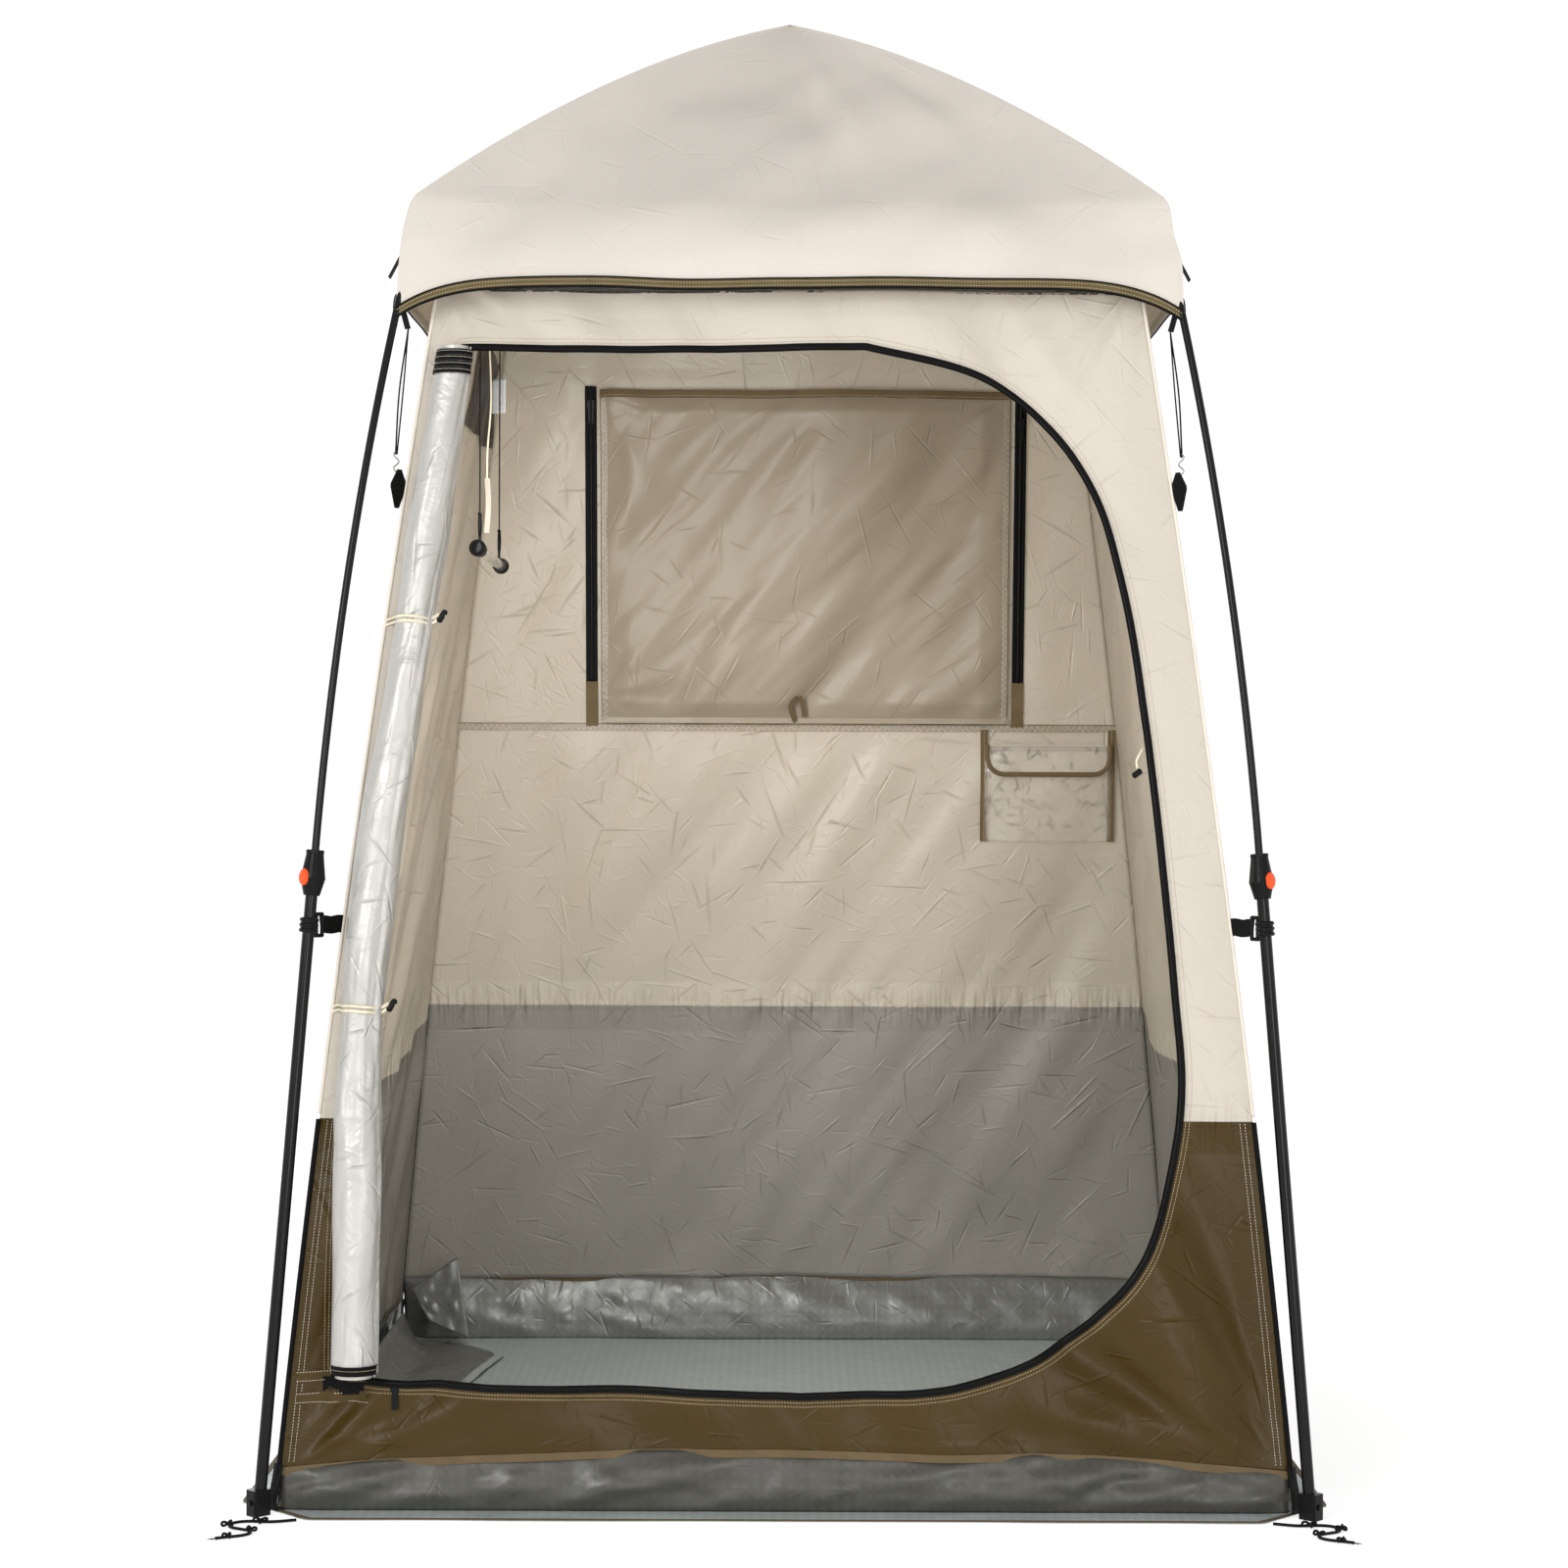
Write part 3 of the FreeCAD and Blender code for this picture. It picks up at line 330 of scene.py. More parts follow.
def gathers(thing):
    """Gives the piece a mesh of its own."""
    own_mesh(thing)


def sewn(thing, side):
    """A piece that goes with its wall's leg, with a mesh of its own."""
    carried(thing, f"leg_{SIDE_CORNER[side]}")
    gathers(thing)


# ---------------------------------------------------------------- materials
def linear(colour):
    """A screen colour, 0 to 255, as the linear colour that a shader takes."""
    shares = [c / 255 for c in colour]
    return tuple(s / 12.92 if s < 0.04045 else ((s + 0.055) / 1.055) ** 2.4 for s in shares) + (1,)


def dimmed(colour, factor):
    """A colour made darker or lighter."""
    return tuple(min(1.0, c * factor) for c in colour[:3]) + (1,)


class Shade:
    """Builds one node material round a Principled shader."""

    def __init__(self, name):
        self.material = bpy.data.materials.new(name)
        self.material.use_nodes = True
        self.tree = self.material.node_tree
        self.tree.nodes.clear()
        self.out = self.add("ShaderNodeOutputMaterial")
        self.surface = self.add("ShaderNodeBsdfPrincipled")
        self.link(self.surface.outputs[0], self.out.inputs[0])
        self.place = self.add("ShaderNodeTexCoord").outputs["Object"]
        self.normal = None

    def add(self, kind, inputs=None, **settings):
        """Adds a node; its inputs, by name or number, are sockets or values."""
        node = self.tree.nodes.new(kind)
        for name, value in settings.items():
            setattr(node, name, value)
        for name, value in (inputs or {}).items():
            self.put(node.inputs[name], value)
        return node

    def link(self, source, target):
        self.tree.links.new(source, target)

    def put(self, target, value):
        if isinstance(value, bpy.types.NodeSocket):
            self.link(value, target)
        else:
            target.default_value = value

    def set(self, **values):
        """Sets the shader's own sockets; an underscore stands for a space."""
        for name, value in values.items():
            self.put(self.surface.inputs[name.replace("_", " ")], value)

    def sum(self, operation, a, b=0.0):
        return self.add("ShaderNodeMath", {0: a, 1: b}, operation=operation).outputs[0]

    def mix(self, share, a, b):
        return self.add("ShaderNodeMix", {"Factor": share, 6: a, 7: b}, data_type="RGBA").outputs[2]

    def blend(self, share, a, b):
        return self.add("ShaderNodeMix", {"Factor": share, 2: a, 3: b}, data_type="FLOAT").outputs[0]

    def range(self, value, low, high, start=0.0, end=1.0):
        numbers = (value, low, high, start, end)
        return self.add("ShaderNodeMapRange", dict(enumerate(numbers))).outputs[0]

    def noise(self, scale, detail=3.0, place=None, distortion=0.0):
        inputs = {"Vector": place or self.place, "Scale": scale, "Detail": detail, "Distortion": distortion}
        return self.add("ShaderNodeTexNoise", inputs).outputs[0]

    def uneven(self, scale, low=0.0, high=1.0):
        """Patches that run from one value to another."""
        return self.range(self.noise(scale), 0.3, 0.7, low, high)

    def facets(self, scale, amount, push_scale):
        """Cells pushed about by noise, so that the creases between them wander."""
        push = self.add("ShaderNodeTexNoise", {"Vector": self.place, "Scale": push_scale}).outputs["Color"]
        moved = {0: push, 1: (amount, amount, amount), 2: self.place}
        place = self.add("ShaderNodeVectorMath", moved, operation="MULTIPLY_ADD").outputs[0]
        cells = {"Vector": place, "Scale": scale}
        return self.add("ShaderNodeTexVoronoi", cells, feature="F1").outputs["Distance"]

    def cloth_place(self):
        return self.add("ShaderNodeUVMap", uv_map="Cloth").outputs[0]

    def waves(self, scale, direction, place):
        inputs = {"Vector": place, "Scale": scale}
        return self.add("ShaderNodeTexWave", inputs, bands_direction=direction).outputs["Fac"]

    def threads(self, operation, pitch):
        """Crossing threads, pitch metres apart, and how the two ways come together."""
        place = self.cloth_place()
        return self.sum(operation, *(self.waves(WAVE_SCALE / pitch, way, place) for way in "XY"))

    def bump(self, height, strength, distance):
        node = self.add("ShaderNodeBump", {"Strength": strength, "Distance": distance, "Height": height})
        if self.normal is not None:
            self.link(self.normal, node.inputs["Normal"])
        self.normal = node.outputs[0]
        self.set(Normal=self.normal)

    def strokes(self, pitch, width, seed):
        """Short straight lines at random angles, one in each cell of a grid of pitch metres."""
        moved = {"Vector": self.cloth_place(), "Location": (3.17 * seed, 1.71 * seed, 0)}
        moved["Scale"] = (1 / pitch, 1 / pitch, 1)
        place = self.add("ShaderNodeMapping", moved).outputs[0]
        cell = self.add("ShaderNodeTexVoronoi", {"Vector": place, "Scale": 1.0}, voronoi_dimensions="2D")
        away = {0: place, 1: cell.outputs["Position"]}
        away = self.add("ShaderNodeVectorMath", away, operation="SUBTRACT").outputs[0]
        chance = self.add("ShaderNodeSeparateColor", {0: cell.outputs["Color"]}).outputs
        turn = {"Vector": away, "Angle": self.sum("MULTIPLY", chance[0], TURN)}
        turn = self.add("ShaderNodeVectorRotate", turn, rotation_type="Z_AXIS").outputs[0]
        parts = self.add("ShaderNodeSeparateXYZ", {0: turn}).outputs
        thin = self.range(self.sum("ABSOLUTE", parts[1]), 0.0, width / pitch, 1.0, 0.0)
        long = self.range(self.sum("ABSOLUTE", parts[0]), 0.05, 0.5, 1.0, 0.0)
        side = self.range(chance[1], 0.0, 1.0, -1.0, 1.0)
        return self.sum("MULTIPLY", self.sum("MULTIPLY", thin, long), side)

    def creases(self, strength, distance=0.006, pitch=0.13):
        """Straight creases left by packing, in three sizes."""
        marks = self.strokes(pitch, 0.0032, 1)
        for seed, share in ((2, 0.8), (3, 0.45)):
            marks = self.sum("ADD", marks, self.strokes(pitch * share, 0.0028, seed))
        self.bump(marks, strength, distance)

    def over(self, share, shader):
        """Shows another shader over a share of the surface."""
        blend = {0: share, 1: self.surface.outputs[0], 2: shader.outputs[0]}
        self.link(self.add("ShaderNodeMixShader", blend).outputs[0], self.out.inputs[0])

    def through(self, share, colour):
        """Lets light through the cloth: a share of the surface glows with what is behind it."""
        self.over(share, self.add("ShaderNodeBsdfTranslucent", {"Color": colour}))

    def holes(self, share):
        """Shows what is behind through a share of the surface, which is a socket or a number."""
        self.over(share, self.add("ShaderNodeBsdfTransparent"))


WAVE_SCALE = TURN / 20  # a wave texture's scale for bands one metre apart
THREAD_PITCH = 0.0011
CREAM = linear((231, 223, 211))
ROOF = linear((240, 233, 223))
BEIGE = linear((208, 200, 185))
FLAP = linear((178, 165, 145))
INNER_GREY = linear((186, 182, 172))
OLIVE = linear((78, 60, 19))
BINDING = linear((104, 88, 64))
HEM = linear((100, 88, 60))
SKIRT = linear((128, 129, 125))
SKIRT_DARK = linear((76, 75, 68))
FLOOR_SHEET = linear((188, 198, 197))
SILVER = linear((190, 188, 182))
BLACK = linear((8, 8, 8))
THREAD = linear((214, 206, 190))
TAN_THREAD = linear((196, 178, 146))
ORANGE = linear((245, 88, 40))


def tinted(shade, colour, amount=0.06, scale=2.5):
    """The colour with soft lighter and darker patches."""
    return shade.mix(shade.uneven(scale), dimmed(colour, 1 - amount), dimmed(colour, 1 + amount))


def fabric(name, colour, rough, creases=0.3, glow=0.3):
    """Plain woven polyester."""
    shade = Shade(name)
    tone = tinted(shade, colour, 0.05)
    shade.set(Base_Color=tone, Roughness=rough, Specular_IOR_Level=0.35)
    shade.bump(shade.noise(9.0, 4.0), 0.35, 0.004)
    shade.creases(creases)
    shade.bump(shade.threads("ADD", THREAD_PITCH), 0.12, 0.00025)
    shade.through(glow, tone)
    return shade.material


def band_fabric(name, upper, lower, rough_upper, rough_lower, glow, creases, gloss):
    """Cloth of two colours that meet at the wall's seam, where the attribute "band" is zero, with a thin
    line of painted shade along the seam.
    """
    shade = Shade(name)
    band = shade.add("ShaderNodeAttribute", attribute_name="band").outputs["Fac"]
    away = shade.sum("ABSOLUTE", band)
    above = shade.sum("GREATER_THAN", band, 0.0)
    tone = shade.mix(above, tinted(shade, lower, 0.07, 4.0), tinted(shade, upper, 0.03))
    # A thin darker line painted along the seam: painted shade where one cloth laps over the other.
    seam = shade.range(away, 0.0, 0.0012, 0.55, 0.0)
    tone = shade.mix(seam, tone, dimmed(lower, 0.45))
    shade.set(Base_Color=tone, Roughness=shade.blend(above, rough_lower, rough_upper))
    shade.set(Specular_IOR_Level=gloss)
    shade.bump(shade.noise(7.0, 3.0), 0.4, 0.006)
    shade.creases(creases)
    shade.creases(creases * 0.6, 0.003, 0.06)
    near = shade.range(away, 0.0, 0.045, 1.0, 0.0)
    puckers = {"Vector": shade.cloth_place(), "Scale": (75.0, 9.0, 1.0)}
    puckers = shade.add("ShaderNodeMapping", puckers).outputs[0]
    shade.bump(shade.sum("MULTIPLY", shade.noise(1.0, 1.0, puckers), near), 1.0, 0.012)
    shade.bump(shade.range(away, 0.004, 0.009, 1.0, 0.0), 0.8, 0.0008)
    shade.bump(shade.threads("ADD", THREAD_PITCH), 0.1, 0.00025)
    shade.through(glow, tone)
    return shade.material


def tarpaulin(name, colour, crinkle, metal, rough):
    """Woven polyethylene: flat tapes that cross, crinkled where it has been folded."""
    shade = Shade(name)
    tapes = shade.threads("MULTIPLY", WAVE_SCALE / 20)
    tone = shade.mix(shade.range(tapes, 0.2, 0.9), dimmed(colour, 0.86), tinted(shade, colour))
    shade.set(Base_Color=tone, Metallic=metal, Roughness=shade.uneven(24.0, rough - 0.06, rough + 0.16))
    shade.bump(shade.noise(7.0, distortion=0.8), crinkle, 0.016)
    shade.bump(shade.facets(15.0, 0.08, 9.0), crinkle * 0.5, 0.012)
    shade.creases(crinkle, 0.003, 0.08)
    shade.bump(tapes, 0.25, 0.0004)
    return shade.material


def coated_roll_cloth():
    """Silver coated cloth, seen from its shiny back."""
    shade = Shade("SilverCloth")
    shade.set(Base_Color=tinted(shade, SILVER, 0.05, 6.0), Metallic=0.35, Specular_IOR_Level=0.5)
    shade.set(Roughness=shade.uneven(14.0, 0.36, 0.5))
    shade.bump(shade.noise(12.0, 5.0, distortion=0.8), 0.8, 0.008)
    shade.creases(0.5, 0.003, 0.1)
    return shade.material


def webbing(name, colour, pitch=0.0022):
    """Flat woven strap with ribs across it."""
    shade = Shade(name)
    ribs = shade.waves(WAVE_SCALE / pitch, "Y", shade.cloth_place())
    shade.set(Base_Color=tinted(shade, colour, 0.12, 60.0), Roughness=0.62)
    shade.set(Sheen_Weight=0.04, Specular_IOR_Level=0.12)
    shade.bump(ribs, 0.5, 0.0003)
    return shade.material


def tape(name, colour, amount=0.1):
    """Folded binding tape."""
    shade = Shade(name)
    shade.set(Base_Color=tinted(shade, colour, amount, 30.0), Roughness=0.66)
    shade.set(Sheen_Weight=0.03, Specular_IOR_Level=0.12)
    shade.bump(shade.noise(220.0, 2.0), 0.4, 0.0006)
    shade.bump(shade.noise(40.0, 2.0), 0.4, 0.0015)
    return shade.material


def plastic(name, colour, rough, grain=260.0, grain_strength=0.15, coat=0.0):
    shade = Shade(name)
    shade.set(Base_Color=tinted(shade, colour, 0.1, 35.0))
    shade.set(Roughness=shade.uneven(60.0, rough - 0.05, rough + 0.08))
    shade.set(Coat_Weight=coat, Coat_Roughness=0.12, Specular_IOR_Level=0.16)
    shade.bump(shade.noise(grain, 2.0), grain_strength, 0.0003)
    return shade.material


def steel():
    shade = Shade("Steel")
    shade.set(Base_Color=tinted(shade, linear((176, 176, 174)), 0.1, 50.0), Metallic=1.0)
    shade.set(Roughness=shade.uneven(90.0, 0.22, 0.38))
    shade.bump(shade.noise(300.0), 0.1, 0.0002)
    return shade.material


def netting(name, clear):
    """Fine black mesh: threads, and gaps that show a share of what is behind."""
    shade = Shade(name)
    threads = shade.threads("MAXIMUM", 0.0016)
    shade.set(Base_Color=tinted(shade, linear((30, 29, 28)), 0.2, 30.0), Roughness=0.7)
    shade.bump(threads, 0.5, 0.0004)
    shade.holes(shade.range(threads, 0.55, 0.75, clear, 0.0))
    return shade.material


def vinyl(name, tint, clear, rough):
    """Clear soft sheet with faint waves that catch the light."""
    shade = Shade(name)
    shade.set(Base_Color=tinted(shade, tint, 0.04, 20.0), Roughness=rough)
    shade.set(Coat_Weight=1.0, Coat_Roughness=0.05)
    shade.bump(shade.noise(16.0, 2.0, distortion=1.2), 0.5, 0.01)
    shade.bump(shade.facets(20.0, 0.06, 8.0), 0.35, 0.012)
    shade.creases(1.0, 0.006, 0.05)
    shade.holes(clear)
    return shade.material


OUTER = band_fabric("WallOuter", CREAM, OLIVE, 0.56, 0.34, 0.3, 0.34, 0.3)
INNER = band_fabric("WallInner", BEIGE, INNER_GREY, 0.34, 0.36, 0.4, 0.5, 0.5)
ROOF_OUTER = fabric("RoofOuter", ROOF, 0.5, 0.2, 0.3)
ROOF_INNER = fabric("RoofInner", BEIGE, 0.4, 0.3, 0.4)
FLAP_CLOTH = fabric("WindowFlapCloth", FLAP, 0.3, 0.3, 0.3)
SKIRT_SHEET = tarpaulin("SkirtSheet", SKIRT, 0.3, 0.25, 0.3)
SKIRT_BACK = tarpaulin("SkirtBack", SKIRT_DARK, 0.16, 0.1, 0.36)
GROUND_SHEET = tarpaulin("GroundSheet", FLOOR_SHEET, 0.22, 0.05, 0.42)
SILVER_CLOTH = coated_roll_cloth()
BLACK_WEBBING = webbing("BlackWebbing", BLACK)
BLACK_TAPE = tape("BlackTape", BLACK, 0.2)
TAN_TAPE = tape("TanTape", BINDING)
HEM_TAPE = tape("HemTape", HEM)
OLIVE_TAPE = tape("OliveTape", linear((76, 62, 36)))
CREAM_TAPE = tape("CreamTape", CREAM, 0.04)
CREAM_ELASTIC = webbing("CreamElastic", linear((232, 222, 198)), 0.0012)
WHITE_THREAD = tape("WhiteThread", THREAD, 0.05)
BROWN_THREAD = tape("BrownThread", TAN_THREAD, 0.05)
CORD_BLACK = webbing("CordBlack", linear((12, 11, 11)), 0.0016)
TUBE_BLACK = plastic("TubeBlack", linear((9, 9, 10)), 0.2, 420.0, 0.06, 0.16)
ROD_BLACK = plastic("RodBlack", linear((11, 11, 12)), 0.26, 420.0, 0.08, 0.12)
PLASTIC_BLACK = plastic("PlasticBlack", linear((11, 11, 12)), 0.34)
PLASTIC_ORANGE = plastic("PlasticOrange", ORANGE, 0.36, 200.0, 0.08, 0.08)
PLASTIC_WHITE = plastic("LabelWhite", linear((240, 240, 238)), 0.6)
STEEL = steel()
NETTING = netting("Netting", 0.62)
WINDOW_NET = netting("WindowNet", 0.35)
VENT_CLOTH = fabric("VentCloth", linear((56, 49, 45)), 0.45, 0.4, 0.1)
CLEAR_VINYL = vinyl("ClearVinyl", linear((236, 228, 214)), 0.8, 0.1)
CLEAR_TUBE = vinyl("ClearTube", linear((214, 205, 190)), 0.3, 0.4)


# ---------------------------------------------------------------- camera, light and floor
CAMERA_PLACE = (-0.005, -5.135, 1.017)
CAMERA_ROLL = 0.004
CAMERA_LENS = 72.9
SKY_LEVELS = (0.30, 0.75)  # heights of the studio wall's top and of the ceiling
SKY_GLOWS = (1.08, 0.42)
SOFTBOXES = (  # name, place, target, width, height, power
    ("KeyLeft", (-2.4, -5.4, 2.5), (0, 0, 1.0), 1.6, 2.0, 95),
    ("FrontRight", (1.5, -5.6, 1.2), (0, 0, 0.9), 1.6, 2.0, 45),
    ("RearLow", (-1.0, 4.5, 2.4), (0, 0, 1.2), 3.0, 2.4, 60),
    ("Inside", (-0.38, -0.40, 1.25), (0.15, 0.6, 0.75), 0.3, 0.8, 7),
)
FLOOR_REACH = 30.0
FLOOR_DROP = 0.001


def make_camera():
    data = bpy.data.cameras.new("Camera")
    data.lens = CAMERA_LENS
    data.clip_end = 100
    camera = bpy.data.objects.new("Camera", data)
    camera.location = CAMERA_PLACE
    camera.rotation_euler = (math.pi / 2, -CAMERA_ROLL, 0)
    scene.collection.objects.link(camera)
    scene.camera = camera


def softbox(name, place, target, width, height, power):
    data = bpy.data.lights.new(name, "AREA")
    data.shape = "RECTANGLE"
    data.size, data.size_y = width, height
    data.energy = power
    lamp = bpy.data.objects.new(name, data)
    lamp.location = place
    lamp.rotation_euler = (Vector(target) - Vector(place)).to_track_quat("-Z", "Y").to_euler()
    lamp.visible_camera = False
    scene.collection.objects.link(lamp)


def make_light():
    """A pale ring of studio wall round the tent, darker overhead, and soft boxes."""
    world = bpy.data.worlds.new("Studio")
    world.use_nodes = True
    tree = world.node_tree
    way = tree.nodes.new("ShaderNodeTexCoord").outputs["Generated"]
    split = tree.nodes.new("ShaderNodeSeparateXYZ")
    tree.links.new(way, split.inputs[0])
    level = tree.nodes.new("ShaderNodeMapRange")
    tree.links.new(split.outputs["Z"], level.inputs["Value"])
    for socket, number in zip(level.inputs[1:5], (*SKY_LEVELS, *SKY_GLOWS)):
        socket.default_value = number
    background = tree.nodes["Background"]
    background.inputs["Color"].default_value = (1, 1, 1, 1)
    tree.links.new(level.outputs[0], background.inputs["Strength"])
    scene.world = world
    for box in SOFTBOXES:
        softbox(*box)
    scene.view_settings.view_transform = "Standard"


def make_floor():
    shade = Shade("StudioFloor")
    shade.set(Base_Color=(0.45, 0.45, 0.45, 1), Roughness=0.9, Specular_IOR_Level=0.1)
    shade.set(Emission_Color=(1, 1, 1, 1), Emission_Strength=0.75)
    corners = [(x * FLOOR_REACH, y * FLOOR_REACH, 0) for x, y in ((-1, -1), (1, -1), (1, 1), (-1, 1))]
    floor = new_mesh("StudioFloor", corners, [(0, 1, 2, 3)], [shade.material], smooth=False)
    floor.location.z = -FLOOR_DROP


# ---------------------------------------------------------------- stake cords
STAKE_CORD = [
    (-0.672, -0.768),
    (-0.686, -0.774),
    (-0.702, -0.780),
    (-0.720, -0.779),
    (-0.737, -0.776),
    (-0.753, -0.783),
    (-0.760, -0.799),
    (-0.753, -0.815),
    (-0.738, -0.823),
    (-0.724, -0.832),
    (-0.721, -0.848),
    (-0.732, -0.861),
    (-0.749, -0.868),
    (-0.764, -0.876),
]
CORD_DIAMETER = 0.0044
STAKE_KNOTS = ((3, 0.013), (6, 0.012), (9, 0.011), (12, 0.0085))  # point of the cord, size
FRAY_THREADS = 7


def knot(name, centre, size, turn, seed):
    """A small tangle of the cord round itself."""
    wobble = np.random.default_rng(seed).uniform(0.8, 1.15, 3)
    t = np.linspace(0, TURN, 40, endpoint=False)
    x = size * (np.sin(t) + 0.9 * np.sin(2 * t) * wobble[0]) * 0.42
    y = size * (np.cos(t) - 0.9 * np.cos(2 * t) * wobble[1]) * 0.36
    z = CORD_DIAMETER * (0.72 + 0.55 * np.sin(3 * t))
    c, s = math.cos(turn), math.sin(turn)
    path = np.stack([centre[0] + c * x - s * y, centre[1] + s * x + c * y, z + 0.0012], -1)
    return tube(name, np.concatenate([path, path[:1]]), CORD_DIAMETER * 0.42, CORD_BLACK, 8)


def make_stake_cord(corner, mirror):
    curve = bpy.data.curves.new(f"stake_cord_{corner}", "CURVE")
    curve.dimensions = "3D"
    curve.bevel_depth = CORD_DIAMETER / 2
    curve.bevel_resolution = 4
    spline = curve.splines.new("NURBS")
    spline.points.add(len(STAKE_CORD) - 1)
    for point, (x, y) in zip(spline.points, STAKE_CORD):
        point.co = (mirror * x, y, CORD_DIAMETER / 2, 1)
    spline.order_u = 3
    spline.use_endpoint_u = True
    spline.resolution_u = 12
    curve.materials.append(CORD_BLACK)
    line = bpy.data.objects.new(f"stake_line_{corner}", curve)
    scene.collection.objects.link(line)
    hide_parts(f"stake_cord_{corner}")
    knots = []
    for number, (index, size) in enumerate(STAKE_KNOTS):
        x, y = STAKE_CORD[index]
        name = f"stake_knot_{corner}_{number}"
        knots.append(knot(name, (mirror * x, y), size, 0.9 * number, number + 5))
    frayed = make_fray(corner, mirror)
    for piece in (line, *knots, frayed):
        carried(piece, "groundsheet")
    x, y = STAKE_CORD[0]


def make_fray(corner, mirror):
    """Loose threads at the cord's far end."""
    x, y = STAKE_CORD[-1]
    threads = []
    for number in range(FRAY_THREADS):
        angle = math.radians(200 + 14 * number)
        tip = (mirror * (x + 0.011 * math.cos(angle)), y + 0.005 * math.sin(angle))
        path = [(mirror * x, y, 0.0022), (*tip, 0.0012 + 0.0006 * (number % 3))]
        threads.append(tube(f"fray_{number}", resample(path, 0.003), 0.0005, CORD_BLACK, 5))
    return join(f"stake_fray_{corner}", threads)


# ---------------------------------------------------------------- cabin walls
VENT_TOP = 1.795
WALL_TOP = {"front": 1.735, "right": VENT_TOP, "rear": VENT_TOP, "left": VENT_TOP}
FRONT_SEAM = 0.543
REAR_SEAM = 0.6125
MIDDLE_SEAM = 0.53
SEAM_HALF = 0.66
FRONT_HOLD = 0.07
FLAP_HINGE = 1.12
WINDOW_ZIPS = (0.351, -0.414)  # across the rear wall, seen from outside
FRONT_SIZE = (1.22, 1.69)
SHEET_FLOOR = 0.3
SKIRT_SEAMS = {  # heights at the middle and at the corners
    "front": (0.083, 0.055),
    "rear": (0.112, 0.104),
    "left": (0.085, 0.07),
    "right": (0.083, 0.07),
}
WALL_FANS = (  # size, corner, folds, reach, seed
    (0.009, (-0.66, 0.1), 9, 0.5, 5),
    (0.009, (0.66, 0.1), 9, 0.5, 6),
    (0.008, (-0.5, 1.74), 8, 0.6, 7),
    (0.008, (0.5, 1.74), 8, 0.6, 8),
)
FRONT_FANS = (
    (0.030, (0.74, 0.0), 26, 0.5, 41),
    (0.026, (-0.74, 0.0), 26, 0.35, 42),
    (0.010, (0.52, 1.78), 16, 0.5, 45),
    (0.010, (-0.52, 1.78), 16, 0.5, 46),
)


def add_band(thing, values):
    """Stores each point's height above the wall's seam."""
    layer = thing.data.attributes.new("band", "FLOAT", "POINT")
    layer.data.foreach_set("value", np.asarray(values, np.float32).ravel())


def fans(x, z, rows, seed=0):
    """The folds of a table of fans, added up."""
    return sum(size * fan_folds(x, z, spot, count, reach, seed + n) for size, spot, count, reach, n in rows)


def seam_height(side, x):
    """Height where the light cloth meets the dark one."""
    if side == "front":
        return np.full_like(x, FRONT_SEAM)
    if side == "rear":
        return np.full_like(x, REAR_SEAM)
    rearward = x / SEAM_HALF if side == "right" else -x / SEAM_HALF
    rise = np.clip((rearward - 0.07) / 0.93, 0, 1) ** 1.6
    return MIDDLE_SEAM + (REAR_SEAM - MIDDLE_SEAM) * rise + 0.013 * np.clip(-rearward, 0, 1)


def skirt_seam(side, share):
    """Height of the seam between a wall and its skirt; share runs from -1 to 1 across the wall."""
    middle, corner = SKIRT_SEAMS[side]
    wave = 0.004 * soft_noise(share * 3.1 + 7, share * 0 + SIDES[side] / 90, 4)
    return corner + (middle - corner) * (1 - np.abs(share) ** 2.6) + wave * (1 - share**2)


def wall_out(side, x, z):
    """How far the cloth stands out of the cabin's smooth face; it is tight where the window moves."""
    share = x / cabin_half(z)
    hold = np.clip((1 - np.abs(share)) / 0.25, 0, 1)
    hold = hold * hold * (3 - 2 * hold)
    seed = 10 + SIDES[side]
    slack = 0.009 * long_folds(x, z, 86, 0.9, 0.2, seed) + 0.013 * long_folds(x, z, -62, 0.8, 0.12, seed + 3)
    slack += 0.004 * long_folds(x, z, -52, 0.5, 0.05, seed + 4) + fans(x, z, WALL_FANS, seed)
    top = np.clip((VENT_TOP - z) / 0.1, 0, 1) * np.clip((z + 0.02) / 0.22, 0, 1)
    belly = -0.006 * (1 - share**2) if side != "front" else 0.0
    if side == "rear":
        tight = bell(z, FLAP_HINGE, 0.05)
        belly = belly * (1 - tight)
        for zip_line in WINDOW_ZIPS:
            tight = tight + bell(x, zip_line, 0.03) * (z > FLAP_HINGE)
        slack = slack * (1 - 0.8 * np.clip(tight, 0, 1))
    return slack * hold * top + belly


def front_dress(x, z):
    """The front wall's own folds: pulled from its corners, and flat behind the door's slider."""
    sill = bell(z, 0.12, 0.05) * 0.010 * soft_noise(x * 11, z * 4, 43)
    header = bell(z, 1.7, 0.05) * 0.004 * soft_noise(x * 7, z * 3, 44)
    held = np.clip((z - 0.07) / 0.06, 0, 1) * np.clip((VENT_TOP - z) / 0.06, 0, 1)
    calm = 1 - bell(x, -0.545, 0.035) * bell(z, 0.155, 0.035)
    return (fans(x, z, FRONT_FANS) + sill + header) * held * calm


def face_out(side, x, z):
    """Outward place of a wall's cloth; the front wall has folds of its own."""
    out = wall_out(side, x, z)
    if side == "front":
        out = out + front_dress(x, z) * np.clip((1 - np.abs(x / cabin_half(z))) / FRONT_HOLD, 0, 1)
    return out


def on_cloth(x, z, lift=0.0, side="front"):
    """Points on a wall's folded cloth, lift metres outward of it."""
    return on_wall(x, z, face_out(side, x, z) + lift, side)


